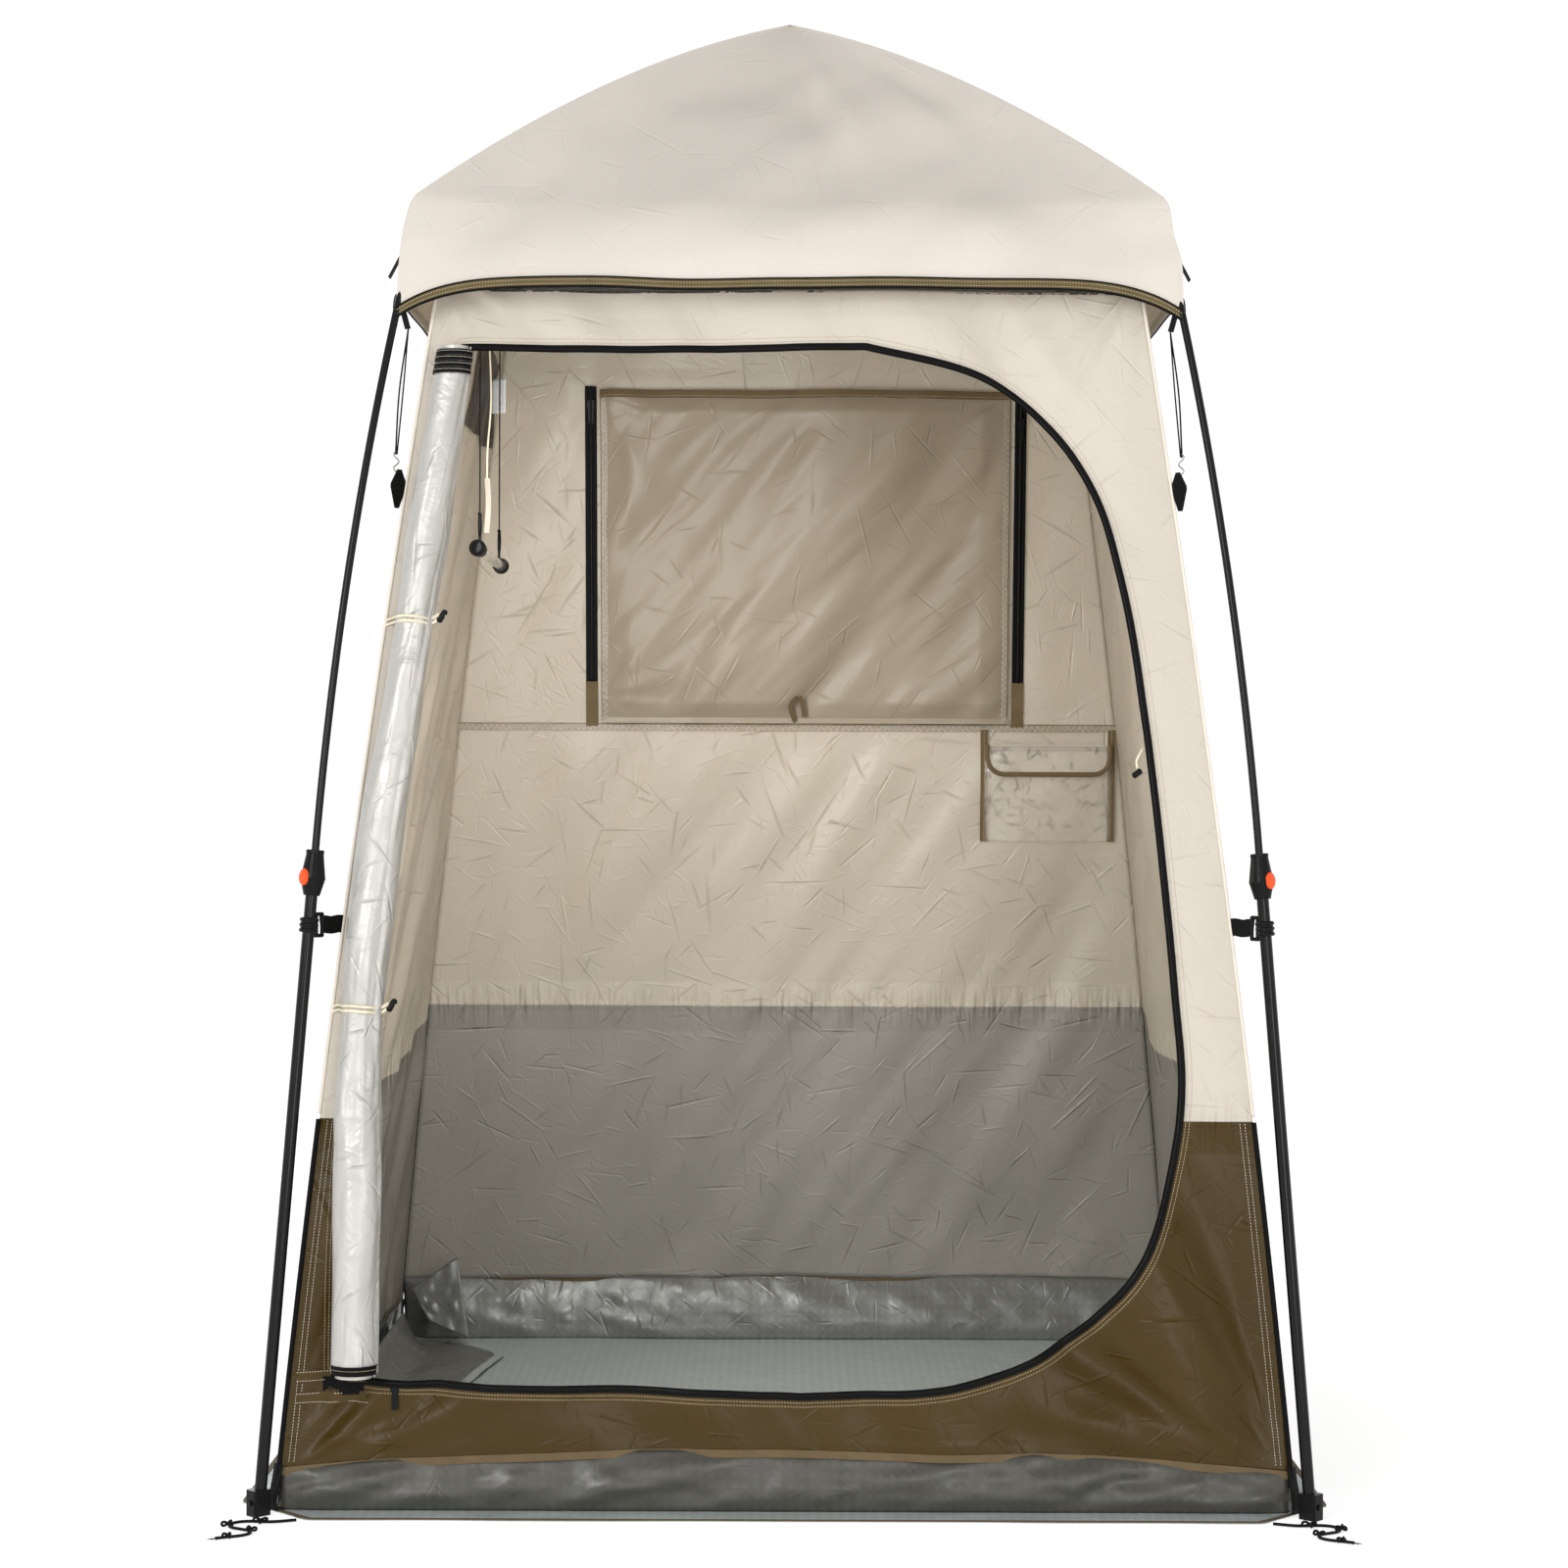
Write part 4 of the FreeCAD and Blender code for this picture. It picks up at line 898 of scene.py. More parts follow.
DOOR_SWEEP = [
    (0.110, 1.649),
    (0.280, 1.605),
    (0.366, 1.542),
    (0.437, 1.442),
    (0.476, 1.312),
    (0.503, 1.156),
    (0.546, 0.737),
    (0.554, 0.558),
    (0.506, 0.367),
    (0.435, 0.274),
    (0.352, 0.214),
    (0.242, 0.178),
    (0.023, 0.164),
]
DOOR_TOP_LEFT = (-0.474, 1.645)
DOOR_SIDE_MIDDLE = (-0.597, 0.850)
DOOR_BOTTOM_LEFT = (-0.630, 0.182)
DOOR_CENTRE = (-0.04, 0.88)
DOOR_STEP = 0.006


def smooth_line(points, step):
    """An even line through points: centripetal curves between them."""
    points = np.asarray(points, float)
    ends = [2 * points[0] - points[1], *points, 2 * points[-1] - points[-2]]
    line = []
    for a, b, c, d in zip(ends, ends[1:], ends[2:], ends[3:]):
        gap = [np.linalg.norm(np.subtract(q, p)) ** 0.5 for p, q in ((a, b), (b, c), (c, d))]
        t0, t1, t2, t3 = 0, gap[0], gap[0] + gap[1], sum(gap)
        for t in np.linspace(t1, t2, 24, endpoint=False):
            p1 = (t1 - t) / (t1 - t0) * a + (t - t0) / (t1 - t0) * b
            p2 = (t2 - t) / (t2 - t1) * b + (t - t1) / (t2 - t1) * c
            p3 = (t3 - t) / (t3 - t2) * c + (t - t2) / (t3 - t2) * d
            q1 = (t2 - t) / (t2 - t0) * p1 + (t - t0) / (t2 - t0) * p2
            q2 = (t3 - t) / (t3 - t1) * p2 + (t - t1) / (t3 - t1) * p3
            line.append((t2 - t) / (t2 - t1) * q1 + (t - t1) / (t2 - t1) * q2)
    line.append(points[-1])
    return resample(line, step)


def arc_line(first, second, third, step):
    centre, radius = circle_through(first, second, third)
    start = math.atan2(first[1] - centre[1], first[0] - centre[0])
    end = math.atan2(third[1] - centre[1], third[0] - centre[0])
    end -= round((end - start) / TURN) * TURN
    angle = np.linspace(start, end, max(3, int(abs(end - start) * radius / step)))
    return np.stack([centre[0] + radius * np.cos(angle), centre[1] + radius * np.sin(angle)], -1)


def door_outline():
    """The doorway's outline, as one loop."""
    runs = (
        arc_line(DOOR_BOTTOM_LEFT, DOOR_SIDE_MIDDLE, DOOR_TOP_LEFT, DOOR_STEP),
        resample([DOOR_TOP_LEFT, DOOR_SWEEP[0]], DOOR_STEP),
        smooth_line(DOOR_SWEEP, DOOR_STEP),
        resample([DOOR_SWEEP[-1], DOOR_BOTTOM_LEFT], DOOR_STEP),
    )
    return np.concatenate([run[:-1] for run in runs])


door_loop = door_outline()


def door_angle(points):
    """Directions of points, seen from the door's centre."""
    return np.arctan2(points[:, 1] - DOOR_CENTRE[1], points[:, 0] - DOOR_CENTRE[0])


def by_angle(loop, angles):
    """Points of a loop round the door's centre, at given angles."""
    angle = door_angle(loop)
    order = np.argsort(angle)
    return np.stack([np.interp(angles, angle[order], loop[order, k], period=TURN) for k in (0, 1)], -1)


def front_border():
    """The front wall's outer border, with its wavy bottom seam."""
    share = np.linspace(-1, 1, 260)
    low, high = skirt_seam("front", share), WALL_TOP["front"]
    z = np.linspace(low[-1], high, 300)
    runs = (
        (share * cabin_half(low), low),
        (cabin_half(z), z),
        (-share * cabin_half(high), np.full_like(share, high)),
        (-cabin_half(z[::-1]), z[::-1]),
    )
    return np.concatenate([np.stack(run, -1)[:-1] for run in runs])


def make_front_wall():
    border = front_border()
    low, high = skirt_seam("front", np.array([-1.0, 1.0])), WALL_TOP["front"]
    kept = [(way * cabin_half(z), z) for way, z in ((-1, low[0]), (1, low[1]), (-1, high), (1, high))]
    spots = np.concatenate([door_loop, kept, [DOOR_BOTTOM_LEFT, DOOR_TOP_LEFT]])
    angles = np.unique(np.round(door_angle(spots), 5))
    inner, outer = by_angle(door_loop, angles), by_angle(border, angles)
    share = np.linspace(0, 1, 34)[:, None, None] ** 1.15
    flat = inner[None] * (1 - share) + outer[None] * share
    x, z = flat[..., 0], flat[..., 1]
    points = on_cloth(x, z)
    wall = cloth_sheet("front_wall", points, OUTER, INNER, flat, closed=True, flip=True)
    add_band(wall, z - seam_height("front", x))
    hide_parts("wall_front")
    sewn(wall, "front")
    area = max(sheet_area(points, closed=True), SHEET_FLOOR * FRONT_SIZE[0] * FRONT_SIZE[1])


def make_plain_wall(side):
    share, rows = grid((-1, 1, 141), (0, 1, 181))
    low = skirt_seam(side, share[:1])
    z = low + (WALL_TOP[side] - low) * rows
    x = share * cabin_half(z)
    points = on_wall(x, z, wall_out(side, x, z), side)
    wall = cloth_sheet(f"{side}_wall", points, OUTER, INNER, np.stack([x, z], -1))
    add_band(wall, z - seam_height(side, x))
    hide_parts(f"wall_{side}")
    sewn(wall, side)


def make_vent():
    """The strip of netting between the front wall's top and the roof fly."""
    share, z = grid((-1, 1, 81), (WALL_TOP["front"] - 0.003, VENT_TOP, 7))
    x = share * cabin_half(z)
    uv = np.stack([x, z], -1)
    strip = cloth_sheet("vent_front", on_cloth(x, z), NETTING, NETTING, uv, thickness=0.0004)
    sewn(strip, "front")


def make_welts():
    """Piping down the corners."""
    for corner, angle in CORNERS.items():
        z = np.linspace(0.05, WALL_TOP["front"], 220)
        path = turned(np.stack([cabin_half(z) * ROOT2 + 0.0015, 0 * z, z], -1), angle)
        dark = z < (FRONT_SEAM if corner in ("fl", "fr") else REAR_SEAM)
        runs = (("dark", dark, 0.0036, BLACK_TAPE), ("light", ~dark, 0.0026, CREAM_TAPE))
        for name, part, size, material in runs:
            welt = tube(f"welt_{name}_{corner}", path[part], size, material, 8)
            carried(welt, f"leg_{corner}")


def make_wall_trims():
    """Stitches up the dark cloth's edges, and binding along the skirts' seams."""
    for side in SIDES:
        outward = turned([0, -1, 0], SIDES[side])
        top = {"front": FRONT_SEAM, "rear": REAR_SEAM}.get(side, 0.56)
        z = np.linspace(0.07, top - 0.004, 90)
        for edge in (-1, 1):
            for number, inset in enumerate((0.012, 0.019)):
                path = on_cloth(edge * (cabin_half(z) - inset), z, 0.0004, side)
                name = f"edge_stitch_{side}_{edge + 1}_{number}"
                row = stitches(name, path, outward, WHITE_THREAD)
                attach(row, f"leg_{SIDE_CORNER[side]}")
                gathers(row)
        share = np.linspace(-0.995, 0.995, 160)
        low = skirt_seam(side, share)
        path = on_cloth(share * cabin_half(low), low, 0.0006, side)
        band = ribbon(f"skirt_binding_{side}", path, [0, 0, 1], 0.011, 0.0012, TAN_TAPE)
        sewn(band, side)


SKIRT_FOOT = {"front": 0.713, "right": 0.716, "rear": 0.658, "left": 0.712}
CORNER_FOOT = 0.709
SKIRT_BULGE = {"rear": -0.012}


def make_skirts():
    """Tarpaulin skirts from the walls' bottom seams down to the ground sheet."""
    for side in SIDES:
        share, drop = grid((-1, 1, 161), (0, 1, 19))
        low = skirt_seam(side, share[:1])
        half = cabin_half(low)
        x = share * (half - 0.004 * drop)
        hold = np.clip((1 - np.abs(share)) / 0.06, 0, 1)
        plane = ((half - 0.0012) * (1 - drop) + SKIRT_FOOT[side] * drop) * hold
        plane += (half * (1 - drop) + CORNER_FOOT * drop) * (1 - hold)
        wave = 0.006 * soft_noise(share * 9 + drop * 2, drop * 2.5, 60 + SIDES[side])
        wave += 0.003 * soft_noise(share * 26, drop * 5, 61 + SIDES[side])
        swell = np.sin(drop * math.pi)
        out = plane + (SKIRT_BULGE.get(side, 0.010) * swell**0.8 + wave * swell) * hold
        z = (low + 0.004) * (1 - drop) + 0.0032 * drop
        points = turned(np.stack([x, -out, z], -1), SIDES[side])
        uv = np.stack([x, z], -1)
        skirt = cloth_sheet(f"skirt_{side}", points, SKIRT_BACK, SKIRT_SHEET, uv, flip=True)
        sewn(skirt, side)


WINDOW_LEFT, WINDOW_RIGHT = -0.325, 0.385
WINDOW_LOW, WINDOW_HIGH = 1.165, 1.690


# ---------------------------------------------------------------- roof fly
PEAK = 2.245
RIDGE_START, RIDGE_END = 0.0008, 0.541
HEM_CORNER = (0.567, 1.686)
HEM_MIDDLE = (0.574, 1.729)
CROWN_ROWS, SKIRT_ROWS = 48, 16
PANEL_COLUMNS = 72
SMOOTHING = 14
HEM_FADE_ROWS = 9
HEM_PIPES = ((0.0005, 0.0019), (0.0148, 0.0013))  # height, radius


def ridge_point(share):
    """Half width and height over a rib, then down the corner to the hem."""
    half = RIDGE_START + (RIDGE_END - RIDGE_START) * np.minimum(share, 1)
    height = PEAK - 0.42 * half - 0.51 * half**2
    drop = np.clip(share - 1, 0, 1)
    height = height + (HEM_CORNER[1] - height) * drop
    return half + (HEM_CORNER[0] - half) * np.sin(drop * math.pi / 2) ** 0.6, height


def middle_point(share):
    """Half width and height along a panel's middle line."""
    half = RIDGE_START + 0.505 * np.minimum(share, 1) ** 1.12
    height = PEAK - 0.755 * half
    drop = np.clip(share - 1, 0, 1)
    fall = 0.55 * drop + 0.45 * (1 - np.cos(drop * math.pi / 2))
    height = height + (HEM_MIDDLE[1] - height) * fall
    return half + (HEM_MIDDLE[0] - half) * np.sin(drop * math.pi / 2), height


def fly_ring():
    """The whole fly as rows of closed rings, smoothed so that its ridges are round."""
    share = np.concatenate([np.linspace(0, 1, CROWN_ROWS + 1), 1 + np.linspace(0, 1, SKIRT_ROWS + 1)[1:]])
    share = share[:, None]
    ridge, ridge_height = ridge_point(share)
    middle, middle_height = middle_point(share)
    across = np.sin(np.linspace(-1, 1, PANEL_COLUMNS + 1)[:-1] * math.pi / 2)[None, :]
    crease = np.abs(across) ** (2 + 5 * np.clip(share - 0.6, 0, None))
    out = middle + (ridge - middle) * crease
    height = middle_height + (ridge_height - middle_height) * crease
    panel = np.stack([across * ridge, -out, height], -1)
    ring = np.concatenate([turned(panel, angle) for angle in SIDES.values()], 1)
    loose = np.clip((0.92 - share) / 0.3, 0, 1)[1:-1, :, None]
    for _ in range(SMOOTHING):
        around = (np.roll(ring, 1, 1) + np.roll(ring, -1, 1)) / 2
        inner = (ring[:-2] + ring[2:]) / 2
        ring[1:-1] += 0.3 * loose * (around[1:-1] + inner - 2 * ring[1:-1])
    hem = ring[-1]
    hem[:, 2] += 0.003 * soft_noise(hem[:, 0] * 7 + 5, hem[:, 1] * 7 + 5, 70)
    return ring + fly_wrinkles(ring)


def fly_wrinkles(ring):
    """Slack in the cloth: long soft folds down the panels, small ones near the corners, none at the hem."""
    x, y, z = ring[..., 0], ring[..., 1], ring[..., 2]
    angle = np.arctan2(y, x)
    spread = np.hypot(x, y)
    rise = 0.009 * soft_noise(angle * 7 + 30, spread * 3, 71)
    rise += 0.009 * soft_noise(x * 6 + y * 3 + 9, z * 5 + y * 2, 72)
    rise += 0.007 * soft_noise(x * 14 - y * 9 + 9, z * 8, 73)
    rise += 0.010 * long_folds(x + y, z * 1.4, 24, 0.7, 0.14, 75)
    rise *= np.clip(spread / 0.3, 0, 1)
    corner = np.abs(np.abs(x) - np.abs(y))
    small = soft_noise(angle * 16 + 40, z * 6, 74) * np.clip((2.0 - z) / 0.2, 0, 1)
    rise += 0.008 * np.exp(-corner / 0.1) * small
    rise *= 1 - bell(corner, 0, 0.09) * np.clip((z - 1.8) / 0.05, 0, 1)
    rise *= np.clip(np.arange(len(ring))[::-1] / HEM_FADE_ROWS, 0, 1)[:, None]
    outward = unit(np.stack([x, y, 0.35 + 0 * z], -1))
    return outward * rise[..., None]


def rides_fly(thing, side):
    """Goes with the rib at the panel's corner, with a mesh of its own."""
    corner = SIDE_CORNER[side]
    carried(thing, f"rib_{corner}")
    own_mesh(thing)


def make_fly():
    ring = fly_ring()
    closed = np.concatenate([ring, ring[:, :1]], 1)
    for number, side in enumerate(SIDES):
        first = number * PANEL_COLUMNS
        panel = closed[:, first : first + PANEL_COLUMNS + 1]
        uv = turned(panel, -SIDES[side])[..., [0, 2]]
        sheet = cloth_sheet(f"fly_{side}", panel, ROOF_OUTER, ROOF_INNER, uv, flip=True)
        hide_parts(f"canopy_{side}")
        rides_fly(sheet, side)
        make_hem(side, panel[-1])


def make_hem(side, edge):
    """Binding round the hem between two dark piped edges."""
    outward = turned([0, -1, 0], SIDES[side])
    path = resample(edge, 0.008)

    def line(out, height):
        return path + outward * out + np.array([0, 0, height])

    pieces = [ribbon(f"hem_{side}", line(0.0012, 0.0075), [0, 0, -1], 0.014, 0.0012, HEM_TAPE)]
    for height, radius in HEM_PIPES:
        pieces.append(tube("hem_pipe", line(0.0022, height), radius, BLACK_TAPE, 6))
    for height in (0.0045, 0.0105):
        pieces.append(stitches("hem_stitch", line(0.0026, height), outward, BROWN_THREAD))
    rides_fly(join(f"hem_binding_{side}", pieces), side)


GUY_TABS = (("left", 1, "fl"), ("left", -1, "rl"), ("right", 1, "rr"), ("right", -1, "fr"))
TAB_HIGH, TAB_LOW, TAB_OUT = 1.832, 1.775, 0.5565
TAB_STEPS = 10


def make_guy_tabs():
    """Corner patches with a webbing tab, on the sides of the fly."""
    for side, edge, corner in GUY_TABS:
        a = np.array([edge * 0.548, -(TAB_OUT - 0.014), TAB_HIGH])
        b = np.array([edge * 0.500, -(TAB_OUT + 0.0025), TAB_LOW + 0.012])
        c = np.array([edge * 0.549, -(TAB_OUT + 0.0045), TAB_LOW - 0.012])
        s, t = (v[..., None] for v in grid((0, 1, TAB_STEPS + 1), (0, 1, TAB_STEPS + 1)))
        left, right = a + (b - a) * t, a + (c - a) * t
        rows = left + (right - left) * s + np.array([0, -0.003, 0])
        uv, points = rows[..., [0, 2]], turned(rows, SIDES[side])
        name = f"guy_patch_{corner}"
        patch = cloth_sheet(name, points, OLIVE_TAPE, OLIVE_TAPE, uv, flip=edge > 0, thickness=0.0012)
        root = (b + c) / 2 + np.array([0, -0.004, 0.004])
        path = turned(resample([root, root + np.array([0, -0.016, -0.030])], 0.004), SIDES[side])
        across = turned([1, 0, 0], SIDES[side])
        tab = ribbon(f"guy_tab_{corner}", path, across, 0.017, 0.0022, BLACK_WEBBING)
        for piece in (patch, tab):
            carried(piece, f"rib_{corner}")


# ---------------------------------------------------------------- door edge, rolled door and its ties
OUTWARD = np.array([0, -1, 0])
ROLL_GAP = 0.0025
ROLL_STAND = 0.027 + ROLL_GAP
ROLL_SHAPE = 0.94
ROLL_TIES = (1.25, 0.70)
ROLL_SIDES = 64
COLLAR_TOP, COLLAR_STEP, COLLAR_ROWS = 1.6405, 0.009, 4
ROLL_LINE = [  # across, height and radius of the rolled door
    (-0.482, 1.640, 0.0250),
    (-0.500, 1.500, 0.0265),
    (-0.518, 1.360, 0.0280),
    (-0.533, 1.250, 0.0240),
    (-0.553, 1.100, 0.0285),
    (-0.572, 0.973, 0.0300),
    (-0.588, 0.820, 0.0315),
    (-0.597, 0.700, 0.0265),
    (-0.600, 0.600, 0.0300),
    (-0.601, 0.470, 0.0325),
    (-0.600, 0.330, 0.0325),
    (-0.599, 0.196, 0.0310),
]


def offset_loop(loop, distance):
    """The door's outline moved outward in its own plane."""
    ways = np.roll(loop, -1, 0) - np.roll(loop, 1, 0)
    normal = unit(np.stack([-ways[:, 1], ways[:, 0]], -1))
    away = np.sum(normal * (loop - np.array(DOOR_CENTRE)), -1, keepdims=True) > 0
    return loop + normal * np.where(away, 1, -1) * distance


def loop_path(distance, lift, closed=True):
    loop = offset_loop(resample(np.concatenate([door_loop, door_loop[:1]]), DOOR_STEP)[:-1], distance)
    if closed:
        loop = np.concatenate([loop, loop[:1]])
    return on_cloth(loop[:, 0], loop[:, 1], lift)


def make_door_edge():
    """Black zip round the doorway, with its coil, and a bound edge stitched beside it."""
    side = unit(loop_path(0.006, 0.0006) - loop_path(0.001, 0.0006))
    rows = [
        ribbon("zip_tape", loop_path(0.0035, 0.0006), side, 0.008, 0.0014, BLACK_TAPE),
        tube("zip_coil", loop_path(0.001, 0.0016), 0.0017, PLASTIC_BLACK, 6),
        ribbon("zip_tape_inside", loop_path(0.004, -0.0022), side, 0.014, 0.0010, BLACK_TAPE),
    ]
    for distance in (0.011, 0.0165):
        rows.append(stitches("door_stitch", loop_path(distance, 0.0004), OUTWARD, BROWN_THREAD))
    sewn(join("door_zip_edge", rows), "front")
    sewn(lower_binding(), "front")


def lower_binding():
    """Tan tape beside the zip on the dark cloth, and the two zip tapes out to the left corner."""
    loop = loop_path(0.0135, 0.0002, closed=False)
    spread = unit(loop_path(0.016, 0.0002, closed=False) - loop_path(0.010, 0.0002, closed=False))
    kept = (loop[:, 2] < FRONT_SEAM) & (loop[:, 0] > DOOR_BOTTOM_LEFT[0] + 0.02)
    order = np.argsort(np.arctan2(loop[kept][:, 2] - 0.9, loop[kept][:, 0]))
    path, side = loop[kept][order], spread[kept][order]
    pieces = [ribbon("door_binding", path, side, 0.0125, 0.0007, OLIVE_TAPE)]
    for height in (0.186, 0.156):
        x = np.linspace(-0.682, -0.585, 30)
        z = height + 0.012 * (x + 0.61)
        pieces.append(ribbon("corner_tape", on_cloth(x, z, 0.0004), [0, 0, 1], 0.017, 0.0010, OLIVE_TAPE))
        for row in (-0.006, 0.006):
            pieces.append(stitches("corner_stitch", on_cloth(x, z + row, 0.0018), OUTWARD, WHITE_THREAD))
    path = on_cloth(np.linspace(-0.648, -0.590, 12), 0.172, 0.0006)
    pieces.append(ribbon("corner_shade", path, [0, 0, 1], 0.024, 0.0008, BLACK_TAPE))
    return join("door_binding_low", pieces)


def roll_place(z):
    """Centre and radius of the roll at a height."""
    line = smooth_line(ROLL_LINE, 0.004)[::-1]
    return np.interp(z, line[:, 1], line[:, 0]), np.interp(z, line[:, 1], line[:, 2])


def make_door_roll():
    """The door rolled lengthwise: a spiral of cloth with its free edge running down the front."""
    z = np.linspace(ROLL_LINE[0][1], ROLL_LINE[-1][1], 300)
    x, radius = roll_place(z)
    turns = np.linspace(0, TURN, ROLL_SIDES, endpoint=False)
    centre = on_wall(x, z, ROLL_STAND)
    around, z = as_grid(turns[None, :], z[:, None])
    layer = ((around - 0.5 + 0.35 * np.sin(z * 5)) % TURN) / TURN
    size = radius[:, None] * (0.93 + 0.09 * layer)
    size += 0.0016 * soft_noise(around * 1.3 + 10, z * 9, 80)
    size += 0.0013 * soft_noise(around * 3.2 + z * 14, z * 5, 81)
    tied = bell(z, ROLL_TIES[0], 0.05) + bell(z, ROLL_TIES[1], 0.06)
    size += 0.0022 * soft_noise(around * 5.5 + 4, z * 6, 82) * tied
    size += 0.0011 * bell(z, 0.552, 0.004)
    size += 0.0022 * bell(z, 0.56, 0.05) * soft_noise(around * 4 + 2, z * 26, 83)
    ring = [size * np.cos(around), -size * ROLL_SHAPE * np.sin(around), 0 * size]
    points = centre[:, None, :] + np.stack(ring, -1)
    faces = grid_faces(*z.shape, closed=True, flip=True)
    roll = new_mesh("rolled_door", points, faces, [SILVER_CLOTH], np.stack([around * 0.03, z], -1))
    solid = roll.modifiers.new("Thickness", "SOLIDIFY")
    solid.thickness = 0.0015
    solid.offset = -1
    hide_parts("door_roll")
    for piece in (roll, *roll_trims()):
        carried(piece, "leg_fl")


def roll_trims():
    """The wound ends, the taped collar at the top and the hem at the foot."""
    ends = [roll_spiral("roll_end", ROLL_LINE[index][1]) for index in (0, -1)]
    collar = []
    for number in range(COLLAR_ROWS):
        top, lift = COLLAR_TOP - COLLAR_STEP * number, 0.0005 * (number % 2)
        collar.append(roll_band("collar", top, 0.0082, 0.0012 + lift, BLACK_TAPE))
    for number in range(COLLAR_ROWS):
        top, lift = COLLAR_TOP - COLLAR_STEP * number, 0.0005 * (number % 2)
        collar.append(stitches("collar_stitch", *roll_ring(top - 0.003, 0.0022 + lift), WHITE_THREAD))
    foot = [roll_band("roll_hem", 0.209, 0.013, 0.0012, BLACK_TAPE)]
    foot.append(stitches("roll_hem_stitch", *roll_ring(0.2035, 0.0022), BROWN_THREAD))
    return join("roll_ends", ends), join("roll_collar", collar), join("roll_hem_band", foot)


def roll_ring(height, lift):
    """A ring round the roll, and the directions out of it."""
    x, radius = roll_place(height)
    turns = np.linspace(0, TURN, ROLL_SIDES + 1)
    out = np.stack([np.cos(turns), -np.sin(turns), 0 * turns], -1)
    return on_wall(x, height, ROLL_STAND) + out * (radius * 1.01 + lift), out


def roll_band(name, top, height, lift, material):
    """A band of tape round the roll."""
    points = np.array([roll_ring(top - height * share, lift)[0][:-1] for share in np.linspace(0, 1, 5)])
    return new_mesh(name, points, grid_faces(*points.shape[:2], closed=True, flip=True), [material])


def roll_spiral(name, height):
    """The wound layers that show at an end of the roll."""
    x, radius = roll_place(height)
    turns = np.linspace(0, TURN * 6, 260)
    reach = radius * (0.15 + 0.78 * turns / turns[-1])
    spiral = np.stack([reach * np.cos(turns), -ROLL_SHAPE * reach * np.sin(turns), 0 * turns], -1)
    return ribbon(name, on_wall(x, height, ROLL_STAND) + spiral, [0, 0, 1], 0.012, 0.0012, SILVER_CLOTH)


def make_roll_ties():
    """Elastic ties round the rolled door, each held by a toggle."""
    for number, height in enumerate(ROLL_TIES):
        x, radius = roll_place(height)
        half = cabin_half(height)
        left, face, front = -half - 0.0015, -(half + 0.003), -(half + ROLL_STAND)
        pieces = []
        for lift in (height - 0.0034, height + 0.0034):
            path = [
                (left, face, lift - 0.004),
                ((left + x - radius) / 2, face - 0.004, lift - 0.001),
                (x - radius * 0.95, front - 0.010, lift),
                (x - radius * 0.5, front - radius * 0.92, lift + 0.001),
                (x, front - radius - 0.0026, lift),
                (x + radius * 0.5, front - radius * 0.92, lift - 0.001),
                (x + radius * 0.98, front - radius * 0.25, lift - 0.003),
                (x + radius + 0.012, front - 0.006, lift + 0.004),
            ]
            pieces.append(tube("tie", smooth3(path, 0.004), 0.0023, CREAM_ELASTIC, 8))
        end = np.array([x + radius + 0.016, front - 0.006, height + 0.004])
        toggle = make_toggle(f"toggle_{number}", end, (0.55, 0, 0.84), 0.021)
        path = end + np.array([[-0.004, 0, -0.003], [0.004, 0, 0.003]])
        pieces.append(tube("tie_knot", path, 0.0035, CREAM_ELASTIC, 8))
        for piece in (join(f"roll_tie_{number}", pieces), toggle):
            carried(piece, "leg_fl")


SPARE_TIE = ((0.004, 0.004, 0.018), (0, -0.004, 0.012), (-0.006, -0.006, 0.0), (-0.004, -0.004, -0.012))


def make_spare_tie():
    """A spare loop and toggle at the doorway's right edge."""
    base = np.array([0.503, -(cabin_half(1.05) + 0.004), 1.052])
    loop = tube("spare_loop", smooth3(base + np.array(SPARE_TIE), 0.003), 0.0016, CREAM_ELASTIC, 8)
    toggle = make_toggle("spare_toggle", base + np.array([-0.005, -0.006, -0.018]), (0.8, 0, 0.6), 0.016)
    sewn(join("spare_tie", [loop, toggle]), "front")


def make_toggle(name, centre, way, length):
    """A small barrel toggle with a waist and rounded ends."""
    share = np.linspace(-1, 1, 15)
    radius = 0.0052 * np.sqrt(np.clip(1 - np.abs(share) ** 6, 0.02, 1)) * (1 - 0.18 * (1 - share**2))
    path = np.asarray(centre, float) + unit(way) * (share[:, None] * length / 2)
    return tube(name, path, radius, PLASTIC_BLACK, 14, up=(0, 1, 0))


# ---------------------------------------------------------------- window flap and its zips
FLAP_LEFT, FLAP_RIGHT = -0.334, 0.396
FLAP_LOW, FLAP_HIGH = 1.126, 1.712
FLAP_STAND = 0.0055
FLAP_HEM = 0.007
FLAP_SLACK = 0.02
FLAP_FANS = (  # size, corner, folds, reach, seed
    (0.008, (FLAP_LEFT, FLAP_HIGH), 14, 0.45, 91),
    (0.008, (FLAP_RIGHT, FLAP_HIGH), 14, 0.45, 92),
    (0.006, (FLAP_LEFT, FLAP_LOW + 0.05), 12, 0.3, 93),
)
ZIPS = (("left", -0.351, 1.722), ("right", 0.414, 1.700))
ZIP_FOOT = 1.200
MIDDLE_HALF, MIDDLE_Z = 0.593, 1.119
MIDDLE_TOOTH, FLAP_TOOTH = 0.0050, 0.0045
INWARD = turned([0, 1, 0], SIDES["rear"])


